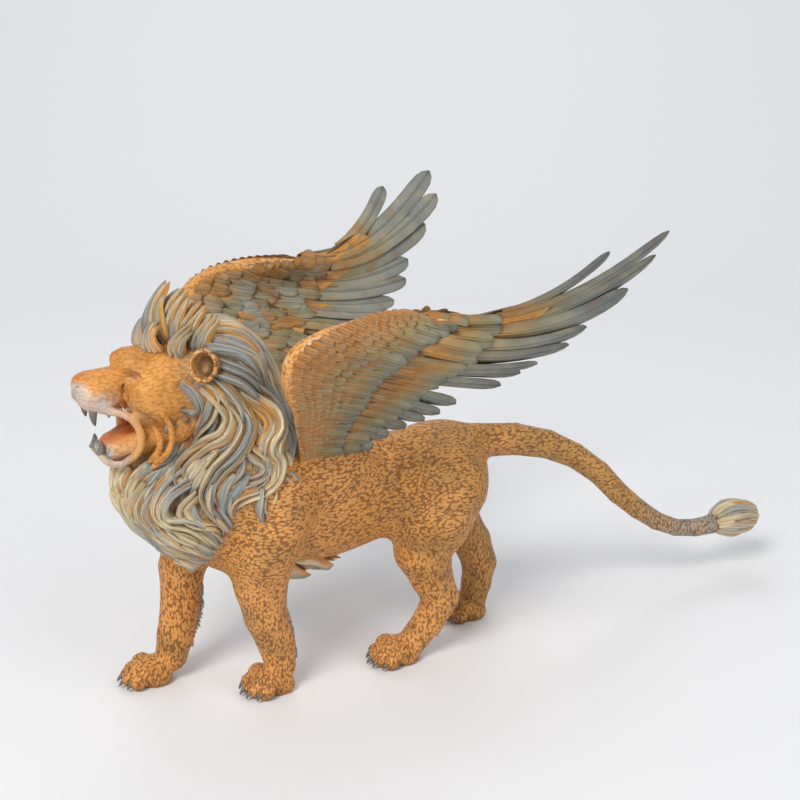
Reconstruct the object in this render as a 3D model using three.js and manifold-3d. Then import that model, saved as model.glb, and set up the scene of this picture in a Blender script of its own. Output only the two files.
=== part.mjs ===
// Winged lion statue, cast in bronze as one piece, standing on its four paws.
// Millimetres, +Z up. The lion faces -X and its left side is -Y. The origin is on the floor,
// under the middle of the statue's box. The forms are placed from a working centre, on the floor
// between the four paws, and the finished casting is moved from there.
import * as THREE from "three";
import { mergeVertices } from "three/addons/utils/BufferGeometryUtils.js";
import Module from "manifold-3d";

const wasm = await Module();
wasm.setup();

// Driving dimensions
const BACK_Z = 178; // top of the rump
const CELL = 2.6; // grid that the soft forms are worked out on
const BODY_FACES = 9000; // triangles kept for the soft forms
const CARVED_FACES = 6000; // triangles kept for them once the locks are joined on
const WING_FACES = 1800; // triangles kept for each wing
const PATINA = { color: 0xc8924e, roughness: 0.52, metalness: 0.3 };

// Torso: each form is an ellipsoid with a centre and three half sizes, some of them a pair
const TORSO = [
  { at: [0, 0, 137], size: [72, 36, 49] }, // ribs
  { at: [54, 0, BACK_Z - 41], size: [58, 29, 37] }, // loin
  { at: [97, 0, BACK_Z - 39], size: [42, 34, 39] }, // rump
  { at: [-58, 0, 148], size: [56, 41, 60] }, // chest
  { at: [-4, 24, 166], size: [34, 17, 24], pair: true }, // roots of the wings
];

// Legs: joints from the top down, each with its half thickness, and the paw on the floor.
// `fringe` is the hair down the back of the leg: a saw edge from its top to its foot.
const LEGS = {
  leftFore: {
    joints: [
      { at: [-46, -30, 150], r: 27 },
      { at: [-58, -32, 116], r: 25 },
      { at: [-59, -29, 88], r: 19 },
      { at: [-55, -26, 62], r: 15.5 },
      { at: [-47, -25, 38], r: 13.5 },
      { at: [-44, -25, 20], r: 11.5 },
    ],
    paw: { at: [-54, -24], turn: 12 },
    fringe: { y: -27, top: [-43, 74], foot: [-34, 26], reach: 7, teeth: 6 },
  },
  rightFore: {
    joints: [
      { at: [-56, 28, 150], r: 27 },
      { at: [-84, 31, 118], r: 24 },
      { at: [-98, 29, 88], r: 17 },
      { at: [-101, 28, 60], r: 14.5 },
      { at: [-106, 28, 34], r: 13.5 },
      { at: [-110, 28, 18], r: 12 },
    ],
    paw: { at: [-129, 30], turn: -4 },
    fringe: { y: 28, top: [-85, 70], foot: [-96, 24], reach: 7, teeth: 6 },
  },
  leftHind: {
    joints: [
      { at: [92, -20, 134], r: 35 },
      { at: [80, -25, 112], r: 31 },
      { at: [73, -27, 88], r: 22 },
      { at: [80, -27, 66], r: 16.5 },
      { at: [88, -27, 47], r: 14 },
      { at: [80, -26, 30], r: 12 },
      { at: [66, -25, 14], r: 11 },
    ],
    paw: { at: [49, -25], turn: 6 },
    fringe: { y: -27, top: [97, 38], foot: [83, 16], reach: 4, teeth: 3 },
  },
  rightHind: {
    joints: [
      { at: [102, 20, 134], r: 34 },
      { at: [114, 24, 108], r: 27 },
      { at: [129, 24, 84], r: 20 },
      { at: [144, 23, 64], r: 15.5 },
      { at: [151, 22, 44], r: 14 },
      { at: [148, 21, 26], r: 12 },
      { at: [144, 20, 13], r: 11 },
    ],
    paw: { at: [134, 19], turn: 2 },
    fringe: { y: 22, top: [157, 62], foot: [157, 26], reach: 7, teeth: 5 },
  },
};
const PAW = { heel: [15, 13.5, 12], knuckle: [6.5, 5.2, 5.8], toe: [6, 5.3, 6.4], spread: 8 };
const FRINGE_THICKNESS = 3.4;

// Tail: places along its middle line, each with its half thickness, and its tuft
const TAIL = [
  { at: [110, 0, 158], r: 17 },
  { at: [134, 0, 158], r: 13.4 },
  { at: [168, 0, 154], r: 12.7 },
  { at: [199, 0, 145], r: 11.5 },
  { at: [226, 0, 131], r: 10.2 },
  { at: [251, 0, 112], r: 9.6 },
  { at: [271, 0, 91], r: 9.1 },
  { at: [292, 0, 73], r: 8.4 },
  { at: [313, 0, 58], r: 7.7 },
  { at: [334, 0, 48], r: 7.2 },
  { at: [355, 0, 44], r: 7.6 },
  { at: [374, 0, 44], r: 9 },
];
const TUFT = [
  { at: [391, 0, 48], size: [20, 15, 15] },
  { at: [407, 0, 47], size: [17, 13, 13] },
];
const TUFT_LOCKS = {
  count: 8,
  axisZ: 46,
  width: 12,
  height: 5,
  run: [[376, 7], [390, 13], [404, 14.5], [415, 11.5], [424, 3]], // along X, and out from the axis
};

// Head: ellipsoids, some of them a pair
const HEAD = [
  { at: [-106, 0, 242], size: [32, 31, 27] }, // skull
  { at: [-123, 0, 250], size: [21, 20, 14] }, // forehead
  { at: [-122, 17, 231], size: [22, 14, 19], pair: true }, // cheeks
  { at: [-128, 21, 241], size: [13, 7, 6], pair: true }, // cheekbones
  { at: [-136, 10, 256], size: [11, 9, 6.5], pair: true }, // brows
  { at: [-150, 0, 242], size: [24, 14, 11] }, // bridge of the nose
  { at: [-168, 0, 244], size: [8, 9.5, 7] }, // nose
  { at: [-160, 8, 235], size: [15, 10, 9.5], pair: true }, // upper lips
];
const JAW = [
  { at: [-112, 19, 210], r: 10 },
  { at: [-153, 8, 197], r: 7 },
];
const CHIN = { at: [-154, 0, 196], size: [9, 10, 9] };
const MOUTH = [
  { at: [-150, 0, 216], size: [26, 14, 12.5], tilt: 14 },
  { at: [-130, 0, 216], size: [14, 15, 14] },
];
const TONGUE = [
  { at: [-124, 0, 206], r: 7 },
  { at: [-150, 0, 203], r: 5 },
];
const EAR = { at: [-97, 38, 258], size: [7, 9.5, 10.5], cup: [-104, 43, 259], hollow: [7.5, 7, 7.5] };
const EYE = { at: [-135, 15.5, 250.5], r: 4.4, socket: [-139, 17, 251], hollow: [6, 5, 4.5] };
const FANGS = [
  { from: [-164.5, 10.5, 231], to: [-165.5, 11.5, 217], r: 3 },
  { from: [-155, 9, 198], to: [-157, 9.5, 210], r: 2.6 },
];

// Mane: its underlying mass
const MANE = [
  { at: [-80, 0, 237], size: [37, 44, 37] },
  { at: [-68, 0, 200], size: [38, 50, 46] },
  { at: [-62, 16, 168], size: [34, 34, 34], pair: true },
  { at: [-95, 0, 156], size: [40, 43, 50] },
  { at: [-116, 0, 168], size: [33, 33, 32] },
];

// Locks of the left side, as width, height and the places that each runs through. The places are
// laid on the mane's mass, and the right side has the same locks.
const LOCKS = [
  [14, 8, [-84, -10, 280], [-66, -12, 276], [-50, -15, 264], [-39, -19, 247], [-31, -25, 226]],
  [16, 8, [-92, -24, 272], [-75, -31, 266], [-58, -35, 254], [-47, -38, 240], [-42, -40, 224]],
  [14, 9, [-90, -38, 258], [-74, -44, 250], [-57, -47, 238], [-43, -48, 222], [-41, -48, 208]],
  [
    ...[13, 10, [-72, -46, 241], [-53, -50, 228], [-46, -52, 214], [-58, -54, 202], [-58, -55, 192]],
    ...[[-50, -55, 181], [-62, -53, 171], [-80, -49, 164], [-86, -47, 155], [-78, -46, 144]],
  ],
  [
    ...[14, 11, [-97, -41, 247], [-86, -46, 235], [-80, -50, 221], [-87, -52, 208]],
    ...[[-103, -44, 199], [-113, -38, 189], [-115, -38, 180], [-109, -40, 172]],
  ],
  [
    ...[11, 10, [-85, -46, 238], [-75, -50, 227], [-71, -53, 216], [-79, -55, 200]],
    ...[[-95, -49, 182], [-101, -46, 170], [-97, -46, 157], [-87, -46, 144], [-83, -44, 131]],
  ],
  [
    ...[14, 10, [-113, -38, 182], [-126, -33, 173], [-132, -30, 159], [-126, -31, 148]],
    ...[[-112, -38, 144], [-102, -39, 133], [-95, -35, 120]],
  ],
  [12, 9, [-134, -28, 175], [-142, -23, 159], [-140, -20, 144], [-131, -23, 134], [-120, -27, 134]],
  [13, 9, [-113, -33, 212], [-121, -29, 194], [-134, -25, 186], [-143, -21, 176], [-147, -18, 166]],
  [10, 8, [-104, -38, 247], [-94, -44, 238], [-97, -44, 226], [-107, -38, 208], [-118, -32, 193]],
  [8, 7, [-112, -33, 246], [-103, -38, 238], [-101, -40, 228], [-106, -38, 219], [-113, -34, 223]],
  [13, 9, [-58, -50, 168], [-61, -53, 153], [-51, -54, 143], [-39, -52, 147], [-30, -47, 158]],
  [13, 9, [-38, -42, 214], [-30, -42, 203], [-28, -44, 190], [-31, -47, 177], [-39, -49, 166]],
  [12, 7, [-70, -52, 200], [-58, -53, 188], [-62, -52, 176], [-75, -50, 171]],
  [10, 8, [-106, -42, 170], [-116, -39, 158], [-108, -42, 149], [-96, -44, 145], [-89, -43, 137]],
  [12, 8, [-120, -9, 100], [-107, -10, 90], [-93, -11, 83], [-82, -13, 82]],
  [13, 8, [-148, -12, 164], [-150, -10, 147], [-143, -10, 130], [-131, -12, 115], [-118, -14, 104]],
  [12, 8, [-148, -9, 188], [-156, -7, 174], [-155, -8, 160]],
  [12, 8, [-45, -51, 174], [-38, -51, 161], [-43, -49, 148], [-56, -45, 139]],
  [15, 8, [-56, -6, 269], [-42, -8, 252], [-33, -10, 233], [-29, -12, 213], [-26, -13, 194]],
  [13, 8, [-32, -28, 222], [-27, -30, 206], [-25, -32, 191], [-29, -34, 176]],
];

// Tufts that stand free, over the forehead and under the chest, as width, height, the way that the
// broad side faces, and places
const TUFTS = [
  [22, 13, [-1, 0, 0.2], [-104, 0, 258], [-110, 0, 280], [-108, 0, 294], [-103, 0, 307]],
  [17, 11, [-1, -0.4, 0.3], [-94, -12, 258], [-92, -14, 272], [-87, -15, 281], [-82, -15, 287]],
  [17, 11, [-1, 0.4, 0.3], [-94, 12, 258], [-92, 14, 272], [-87, 15, 281], [-82, 15, 287]],
  [15, 9, [-1, -0.4, 0], [-112, -8, 256], [-119, -9, 270], [-121, -10, 280], [-119, -10, 288]],
  [15, 9, [-1, 0.4, 0], [-112, 8, 256], [-119, 9, 270], [-121, 10, 280], [-119, 10, 289]],
  [14, 10, [-1, 0, -0.5], [-58, -9, 96], [-48, -9, 84], [-40, -8, 71]],
  [14, 10, [-1, 0, -0.5], [-54, 8, 96], [-42, 8, 82], [-33, 8, 70]],
  [14, 10, [-1, 0, -0.5], [-40, -6, 94], [-29, -6, 82], [-21, -5, 73]],
  [14, 10, [-1, 0, -0.5], [-28, 5, 94], [-14, 5, 84], [-6, 4, 76]],
  [13, 9, [-1, 0, -0.5], [-14, -5, 95], [0, -4, 86], [9, -4, 80]],
];
const LOCK_STEP = 11; // length of lock between two sections
const LOCK_SECTION = [[-0.5, -0.6], [-0.46, 0.25], [0.08, 1], [0.46, 0.35], [0.5, -0.6]];

// Wings: the left one, with its distance from the middle plane as a positive number. Each feather
// runs from the bone at the front edge, through a middle place, to its tip. They are in order from
// the body out to the hand, and the first two only carry the wing down into the shoulder.
const FEATHERS = [
  { root: [-28, 30, 158], mid: [-3, 27, 156], tip: [24, 24, 158] },
  { root: [-30, 41, 187], mid: [-2, 37, 183], tip: [28, 32, 178] },
  { root: [-38, 56, 204], mid: [-2, 46, 199], tip: [38, 37, 187] },
  { root: [-46, 72, 219], mid: [0, 55, 212], tip: [48, 45, 194] },
  { root: [-53, 86, 233], mid: [1, 65, 222], tip: [58, 55, 201] },
  { root: [-60, 96, 246], mid: [2, 74, 231], tip: [65, 65, 208] },
  { root: [-65, 102, 258], mid: [5, 83, 240], tip: [74, 72, 216] },
  { root: [-64, 104, 270], mid: [14, 92, 249], tip: [99, 91, 231] },
  { root: [-58, 106, 280], mid: [28, 100, 254], tip: [109, 100, 241] },
  { root: [-45, 108, 287], mid: [40, 106, 256], tip: [117, 109, 249] },
  { root: [-28, 107, 291], mid: [55, 112, 262], tip: [134, 121, 263] },
  { root: [-10, 104, 293], mid: [68, 118, 268], tip: [141, 131, 277] },
  { root: [8, 102, 293], mid: [88, 124, 277], tip: [164, 144, 303] },
  { root: [25, 104, 292], mid: [102, 129, 287], tip: [179, 152, 326] },
  { root: [40, 111, 291], mid: [108, 137, 297], tip: [179, 165, 344] },
  { root: [54, 117, 289], mid: [98, 139, 301], tip: [134, 163, 334] },
];
const FIRST_OF_HAND = 7; // number of the feather where the hand begins
const EDGE = { from: 3.5, half: 6, sides: 7, step: 0.5 }; // the rolled front edge
const CORE = { reach: 0.7, half: 2.8, shares: [0, 0.2, 0.4, 0.7], step: 0.5 }; // the thick part
const VANE = { half: 1.5, arm: 16, hand: 15, outer: 11 }; // a feather's half thickness and widths
const COVERTS = [
  { face: 1, end: 0.62, length: 0.3 },
  { face: 1, end: 0.4, length: 0.26 },
  { face: -1, end: 0.6, length: 0.3 },
  { face: -1, end: 0.38, length: 0.26 },
];
const COVERT = { width: 13.5, half: 1.4, rise: 3.2, last: 12.5 };

const sum = (list) => list.reduce((total, value) => total + value, 0);
const otherSide = ([x, y, z]) => [x, -y, z];
const bothSides = (form) => (form.pair ? [form, { ...form, at: otherSide(form.at) }] : [form]);

// A shape holds the box round it and the distance of a point from its surface, negative inside

function ellipsoid({ at, size, tilt = 0 }) {
  const c = Math.cos(THREE.MathUtils.degToRad(tilt));
  const s = Math.sin(THREE.MathUtils.degToRad(tilt));
  const reach = Math.max(...size);
  const least = Math.min(...size);
  return {
    low: at.map((v) => v - reach),
    high: at.map((v) => v + reach),
    distance(x, y, z) {
      const dx = x - at[0];
      const dz = z - at[2];
      const px = (c * dx + s * dz) / size[0];
      const py = (y - at[1]) / size[1];
      const pz = (c * dz - s * dx) / size[2];
      const near = Math.hypot(px, py, pz);
      const slope = Math.hypot(px / size[0], py / size[1], pz / size[2]);
      return slope < 1e-9 ? -least : (near * (near - 1)) / slope;
    },
  };
}

function limb(from, to) {
  const [ax, ay, az] = from.at;
  const [dx, dy, dz] = to.at.map((v, i) => v - from.at[i]);
  const span = dx * dx + dy * dy + dz * dz;
  const reach = Math.max(from.r, to.r);
  return {
    low: from.at.map((v, i) => Math.min(v, to.at[i]) - reach),
    high: from.at.map((v, i) => Math.max(v, to.at[i]) + reach),
    distance(x, y, z) {
      const along = ((x - ax) * dx + (y - ay) * dy + (z - az) * dz) / span;
      const t = Math.min(1, Math.max(0, along));
      const gap = Math.hypot(x - ax - t * dx, y - ay - t * dy, z - az - t * dz);
      return gap - (from.r + (to.r - from.r) * t);
    },
  };
}

function softMin(a, b, seam) {
  const h = Math.max(0, seam - Math.abs(a - b)) / Math.max(seam, 1e-6);
  return Math.min(a, b) - (h * h * seam) / 4;
}

// Several shapes as one, with a soft seam between them
function blend(shapes, seam) {
  const axes = [0, 1, 2];
  return {
    low: axes.map((i) => Math.min(...shapes.map((shape) => shape.low[i]))),
    high: axes.map((i) => Math.max(...shapes.map((shape) => shape.high[i]))),
    distance: (x, y, z) => shapes.reduce((d, shape) => softMin(d, shape.distance(x, y, z), seam), 99),
  };
}

const chain = (joints, seam) => blend(joints.slice(1).map((joint, i) => limb(joints[i], joint)), seam);

// A grid of distances that shapes are joined to and cut from
class Field {
  constructor(low, high, cell) {
    this.low = low;
    this.cell = cell;
    this.count = low.map((v, i) => Math.ceil((high[i] - v) / cell) + 1);
    this.values = new Float32Array(this.count[0] * this.count[1] * this.count[2]).fill(99);
  }

  combine(shape, seam, sign) {
    const { low, cell, count, values } = this;
    const margin = seam + 3 * cell;
    const from = low.map((v, i) => Math.max(0, Math.floor((shape.low[i] - margin - v) / cell)));
    const to = low.map((v, i) =>
      Math.min(count[i] - 1, Math.ceil((shape.high[i] + margin - v) / cell)),
    );
    for (let k = from[2]; k <= to[2]; k++)
      for (let j = from[1]; j <= to[1]; j++)
        for (let i = from[0]; i <= to[0]; i++) {
          const n = i + count[0] * (j + count[1] * k);
          const d = shape.distance(low[0] + i * cell, low[1] + j * cell, low[2] + k * cell);
          values[n] = sign * softMin(sign * values[n], d, seam);
        }
  }

  add(shape, seam) {
    this.combine(shape, seam, 1);
  }

  cut(shape, seam) {
    this.combine(shape, seam, -1);
  }
}

// The cross product of two sides of a triangle: its normal, as long as twice its area
function turn(p, q, r) {
  const [ax, ay, az] = [q[0] - p[0], q[1] - p[1], q[2] - p[2]];
  const [bx, by, bz] = [r[0] - p[0], r[1] - p[1], r[2] - p[2]];
  return [ay * bz - az * by, az * bx - ax * bz, ax * by - ay * bx];
}

// A cube of the grid is split into six tetrahedra, given by its corners: 1 is +X, 2 is +Y, 4 is +Z
const TETRAHEDRA = [
  [0, 1, 3, 7],
  [0, 3, 2, 7],
  [0, 2, 6, 7],
  [0, 6, 4, 7],
  [0, 4, 5, 7],
  [0, 5, 1, 7],
];

// Marching tetrahedra: the closed surface where the grid's distance is nought
function surfaceOf({ low, cell, count, values }) {
  const [nx, ny, nz] = count;
  const step = [0, 1, nx, nx + 1, nx * ny, nx * ny + 1, nx * ny + nx, nx * ny + nx + 1];
  const points = [];
  const faces = [];
  const made = new Map();
  const place = (n) => [n % nx, Math.floor(n / nx) % ny, Math.floor(n / (nx * ny))];

  function crossing(a, b) {
    const [first, last] = a < b ? [a, b] : [b, a];
    const key = first * 8 + step.indexOf(last - first);
    if (!made.has(key)) {
      const share = values[first] / (values[first] - values[last]);
      const t = Math.min(0.9, Math.max(0.1, share));
      const end = place(last);
      points.push(place(first).map((v, i) => low[i] + cell * (v + t * (end[i] - v))));
      made.set(key, points.length - 1);
    }
    return made.get(key);
  }

  function tetrahedron(n, corners) {
    const within = corners.filter((c) => values[n + step[c]] < 0);
    const out = corners.filter((c) => values[n + step[c]] >= 0);
    if (!within.length || !out.length) return;
    const cross = (a, b) => crossing(n + step[a], n + step[b]);
    let ring;
    if (within.length === 1) ring = out.map((c) => cross(within[0], c));
    else if (out.length === 1) ring = within.map((c) => cross(c, out[0]));
    else ring = [[0, 0], [0, 1], [1, 1], [1, 0]].map(([a, b]) => cross(within[a], out[b]));
    const [p, q, r] = ring.map((v) => points[v]);
    const inner = place(n + step[within[0]]);
    const away = p.map((v, i) => v - low[i] - cell * inner[i]);
    if (sum(turn(p, q, r).map((v, i) => v * away[i])) < 0) ring.reverse();
    faces.push([ring[0], ring[1], ring[2]]);
    if (ring.length === 4) faces.push([ring[0], ring[2], ring[3]]);
  }

  for (let k = 0; k < nz - 1; k++)
    for (let j = 0; j < ny - 1; j++)
      for (let i = 0; i < nx - 1; i++) {
        const n = i + nx * (j + ny * k);
        const within = step.filter((s) => values[n + s] < 0).length;
        if (within > 0 && within < 8) TETRAHEDRA.forEach((corners) => tetrahedron(n, corners));
      }
  return { points, faces };
}

// Entries in order of cost, the least first
class Queue {
  constructor() {
    this.heap = [];
  }

  push(entry) {
    const { heap } = this;
    let i = heap.push(entry) - 1;
    while (i > 0) {
      const parent = (i - 1) >> 1;
      if (heap[parent].cost <= heap[i].cost) break;
      [heap[parent], heap[i]] = [heap[i], heap[parent]];
      i = parent;
    }
  }

  pop() {
    const { heap } = this;
    const top = heap[0];
    const last = heap.pop();
    if (heap.length) heap[0] = last;
    for (let i = 0; i < heap.length; ) {
      let least = i;
      for (const child of [2 * i + 1, 2 * i + 2])
        if (child < heap.length && heap[child].cost < heap[least].cost) least = child;
      if (least === i) break;
      [heap[least], heap[i]] = [heap[i], heap[least]];
      i = least;
    }
    return top;
  }
}

// The quadric of a plane: the squared distance from it, as ten numbers
function planeQuadric([a, b, c], p) {
  const d = -(a * p[0] + b * p[1] + c * p[2]);
  return [a * a, a * b, a * c, a * d, b * b, b * c, b * d, c * c, c * d, d * d];
}

function quadricError(q, [x, y, z]) {
  const square = q[0] * x * x + q[4] * y * y + q[7] * z * z;
  const mixed = q[1] * x * y + q[2] * x * z + q[5] * y * z;
  const straight = q[3] * x + q[6] * y + q[8] * z;
  return square + 2 * (mixed + straight) + q[9];
}

// How far a triangle is from a sliver: twice its area over its longest side squared
function fullness([p, q, r]) {
  const apart = (a, b) => Math.hypot(a[0] - b[0], a[1] - b[1], a[2] - b[2]);
  const long = Math.max(apart(p, q), apart(q, r), apart(r, p));
  return Math.hypot(...turn(p, q, r)) / (long * long + 1e-9);
}

// Merges the two ends of the edge that this changes least, again and again, until few faces are left
function simplified({ points, faces }, target) {
  const SPRING = 1e-3; // holds a merged point to its edge's middle where the planes leave it free
  const LENGTH_COST = 2e-4; // keeps long edges to the end
  const at = points.map((p) => [...p]);
  const quadric = at.map(() => new Float64Array(10));
  const around = at.map(() => new Set());
  faces.forEach((face, f) => {
    const normal = turn(...face.map((v) => at[v]));
    const size = Math.hypot(...normal) || 1e-12;
    const plane = planeQuadric(normal.map((v) => v / size), at[face[0]]);
    for (const v of face) {
      around[v].add(f);
      plane.forEach((value, i) => (quadric[v][i] += value * size));
    }
  });
  const stamp = new Uint32Array(at.length);
  const gone = new Uint8Array(at.length);
  const queue = new Queue();

  const neighbours = (v) => new Set([...around[v]].flatMap((f) => faces[f].filter((w) => w !== v)));

  function bestPlace(q, u, v) {
    const mid = at[u].map((value, i) => (value + at[v][i]) / 2);
    const hold = SPRING * (q[0] + q[4] + q[7]);
    const m = new THREE.Matrix3();
    m.set(q[0] + hold, q[1], q[2], q[1], q[4] + hold, q[5], q[2], q[5], q[7] + hold);
    const rest = new THREE.Vector3(hold * mid[0] - q[3], hold * mid[1] - q[6], hold * mid[2] - q[8]);
    return rest.applyMatrix3(m.invert()).toArray();
  }

  function offer(u, v) {
    const q = quadric[u].map((value, i) => value + quadric[v][i]);
    const to = bestPlace(q, u, v);
    const length = Math.hypot(...at[u].map((value, i) => value - at[v][i]));
    const cost = quadricError(q, to) + LENGTH_COST * length ** 4;
    queue.push({ cost, u, v, to, stamps: stamp[u] + stamp[v] });
  }

  // A face that stays may not flip over or become more of a sliver
  function keepsFaces(v, other, to) {
    for (const f of around[v]) {
      if (faces[f].includes(other)) continue;
      const old = faces[f].map((w) => at[w]);
      const now = faces[f].map((w) => (w === v ? to : at[w]));
      const was = fullness(old);
      if (fullness(now) < Math.min(0.1, 0.9 * was)) return false;
      const [before, after] = [turn(...old), turn(...now)];
      const cos = sum(before.map((value, i) => value * after[i]));
      if (was > 0.02 && cos < 0.3 * Math.hypot(...after) * Math.hypot(...before)) return false;
    }
    return true;
  }

  function merge(u, v, to) {
    for (const f of around[v]) {
      if (faces[f].includes(u)) {
        faces[f].forEach((w) => w !== v && around[w].delete(f));
        faces[f] = null;
      } else {
        faces[f] = faces[f].map((w) => (w === v ? u : w));
        around[u].add(f);
      }
    }
    at[u] = to;
    quadric[v].forEach((value, i) => (quadric[u][i] += value));
    gone[v] = 1;
    stamp[u] += 1;
    neighbours(u).forEach((w) => offer(u, w));
  }

  at.forEach((_, v) => neighbours(v).forEach((w) => v < w && offer(v, w)));
  let left = faces.length;
  while (left > target && queue.heap.length) {
    const { u, v, to, stamps } = queue.pop();
    if (gone[u] || gone[v] || stamps !== stamp[u] + stamp[v]) continue;
    const near = neighbours(u);
    const shared = [...neighbours(v)].filter((w) => near.has(w));
    if (shared.length !== 2 || !near.has(v)) continue;
    if (!keepsFaces(u, v, to) || !keepsFaces(v, u, to)) continue;
    merge(u, v, to);
    left -= 2;
  }
  return { points: at, faces: faces.filter(Boolean) };
}

const vector = (p) => new THREE.Vector3(...p);
const mirrored = (p) => new THREE.Vector3(p.x, -p.y, p.z);

// A closed geometry as a solid that can be joined and cut
function solid(geometry) {
  geometry.deleteAttribute("normal");
  geometry.deleteAttribute("uv");
  const merged = mergeVertices(geometry, 1e-4);
  return new wasm.Manifold(
    new wasm.Mesh({
      numProp: 3,
      vertProperties: new Float32Array(merged.attributes.position.array),
      triVerts: new Uint32Array(merged.index.array),
    }),
  );
}

function solidOf({ points, faces }) {
  const geometry = new THREE.BufferGeometry();
  geometry.setAttribute("position", new THREE.Float32BufferAttribute(points.flat(), 3));
  geometry.setIndex(faces.flat());
  return solid(geometry);
}

function reduced(manifold, target) {
  const { vertProperties, triVerts } = manifold.getMesh();
  const [points, faces] = [vertProperties, triVerts].map((list) =>
    Array.from({ length: list.length / 3 }, (_, i) => [...list.slice(3 * i, 3 * i + 3)]),
  );
  return solidOf(simplified({ points, faces }, target));
}

// A solid through a row of sections that have the same number of corners, closed at both ends
function loft(sections) {
  const corners = sections[0].length;
  const points = sections.flat();
  const last = points.length - corners;
  const faces = [];
  for (let i = 0; i < last; i += corners)
    for (let j = 0; j < corners; j++) {
      const [a, b] = [i + j, i + ((j + 1) % corners)];
      faces.push([a, b, b + corners], [a, b + corners, a + corners]);
    }
  for (let j = 1; j < corners - 1; j++) faces.push([0, j + 1, j], [last, last + j, last + j + 1]);
  const volume = sum(faces.map(([a, b, c]) => points[a].clone().cross(points[b]).dot(points[c])));
  if (volume < 0) faces.forEach((face) => face.reverse());
  return solidOf({ points: points.map((p) => p.toArray()), faces });
}

// The soft forms: torso, legs, paws, tail, head and the mane's mass, as one surface

function pawForms({ at: [x, y], turn: degrees }) {
  const c = Math.cos(THREE.MathUtils.degToRad(degrees));
  const s = Math.sin(THREE.MathUtils.degToRad(degrees));
  const place = (ahead, aside, z) => [x - c * ahead - s * aside, y - s * ahead + c * aside, z];
  const toes = [-1.5, -0.5, 0.5, 1.5].flatMap((i) => {
    const ahead = 14.5 - 2.6 * Math.abs(i) ** 1.6;
    return [
      { at: place(ahead - 7, 0.92 * PAW.spread * i, 12.5), size: PAW.knuckle },
      { at: place(ahead, PAW.spread * i, 6), size: PAW.toe },
    ];
  });
  return [{ at: place(-4, 0, 8), size: PAW.heel }, ...toes];
}

function addHead(field) {
  HEAD.flatMap(bothSides).forEach((form) => field.add(ellipsoid(form), 6));
  for (const side of [1, -1]) {
    const place = ([x, y, z]) => [x, side * y, z];
    field.add(chain(JAW.map(({ at, r }) => ({ at: place(at), r })), 0), 6);
    field.add(ellipsoid({ at: place(EAR.at), size: EAR.size }), 3);
    field.cut(ellipsoid({ at: place(EAR.cup), size: EAR.hollow }), 2);
    field.cut(ellipsoid({ at: place(EYE.socket), size: EYE.hollow }), 3);
    field.add(ellipsoid({ at: place(EYE.at), size: [EYE.r, EYE.r, EYE.r] }), 1);
  }
  field.add(ellipsoid(CHIN), 6);
  MOUTH.forEach((form) => field.cut(ellipsoid(form), 3));
  field.add(chain(TONGUE, 0), 2);
}

function softForms() {
  const field = new Field([-190, -68, -6], [436, 68, 300], CELL);
  TORSO.flatMap(bothSides).forEach((form) => field.add(ellipsoid(form), 16));
  field.add(chain(TAIL, 1), 8);
  TUFT.forEach((form) => field.add(ellipsoid(form), 6));
  for (const leg of Object.values(LEGS)) {
    field.add(chain(leg.joints, 2), 14);
    pawForms(leg.paw).forEach((form) => field.add(ellipsoid(form), 3));
  }
  MANE.flatMap(bothSides).forEach((form) => field.add(ellipsoid(form), 10));
  addHead(field);
  return solidOf(simplified(surfaceOf(field), BODY_FACES));
}

// Hair

const maneMass = blend([...MANE, ...HEAD].flatMap(bothSides).map(ellipsoid), 8);
const maneDistance = (p) => maneMass.distance(p.x, p.y, p.z);

function maneNormal(p) {
  const rise = (axis) => {
    const [ahead, behind] = [1, -1].map((d) => maneDistance(p.clone().addScaledVector(vector(axis), d)));
    return ahead - behind;
  };
  return new THREE.Vector3(rise([1, 0, 0]), rise([0, 1, 0]), rise([0, 0, 1])).normalize();
}

// Moves a place on to the surface of the mane's mass
function laid(p) {
  for (let i = 0; i < 6; i++) p.addScaledVector(maneNormal(p), -maneDistance(p));
  return p;
}

// A lock: a strand with a ridge, that swells from its root and ends in a point
function lock(width, height, places, facing) {
  const curve = new THREE.CatmullRomCurve3(places);
  const steps = Math.max(4, Math.round(curve.getLength() / LOCK_STEP));
  const sections = [];
  for (let i = 0; i <= steps; i++) {
    const t = i / steps;
    const p = curve.getPointAt(t);
    const along = curve.getTangentAt(t);
    const across = along.clone().cross(facing(p)).normalize();
    const up = across.clone().cross(along);
    const swell = (0.7 + 0.3 * Math.sin(Math.PI * Math.min(1, 1.6 * t))) * Math.sqrt(1 - 0.995 * t ** 4);
    const corner = ([a, b]) =>
      p.clone().addScaledVector(across, a * width * swell).addScaledVector(up, b * height * swell);
    sections.push(LOCK_SECTION.map(corner));
  }
  return loft(sections);
}

function maneLocks() {
  return LOCKS.flatMap(([width, height, ...path]) => {
    const places = path.map((p) => laid(vector(p)));
    return [places, places.map(mirrored)].map((side) => lock(width, height, side, maneNormal));
  });
}

function freeTufts() {
  return TUFTS.map(([width, height, face, ...path]) =>
    lock(width, height, path.map(vector), () => vector(face)),
  );
}

function tailLocks() {
  const { count, axisZ, width, height, run } = TUFT_LOCKS;
  return Array.from({ length: count }, (_, i) => {
    const angle = ((i + 0.5) / count) * 2 * Math.PI;
    const out = new THREE.Vector3(0, Math.cos(angle), Math.sin(angle));
    const places = run.map(([x, r]) => new THREE.Vector3(x, r * out.y, axisZ + r * out.z));
    return lock(width, height, places, () => out);
  });
}

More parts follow.
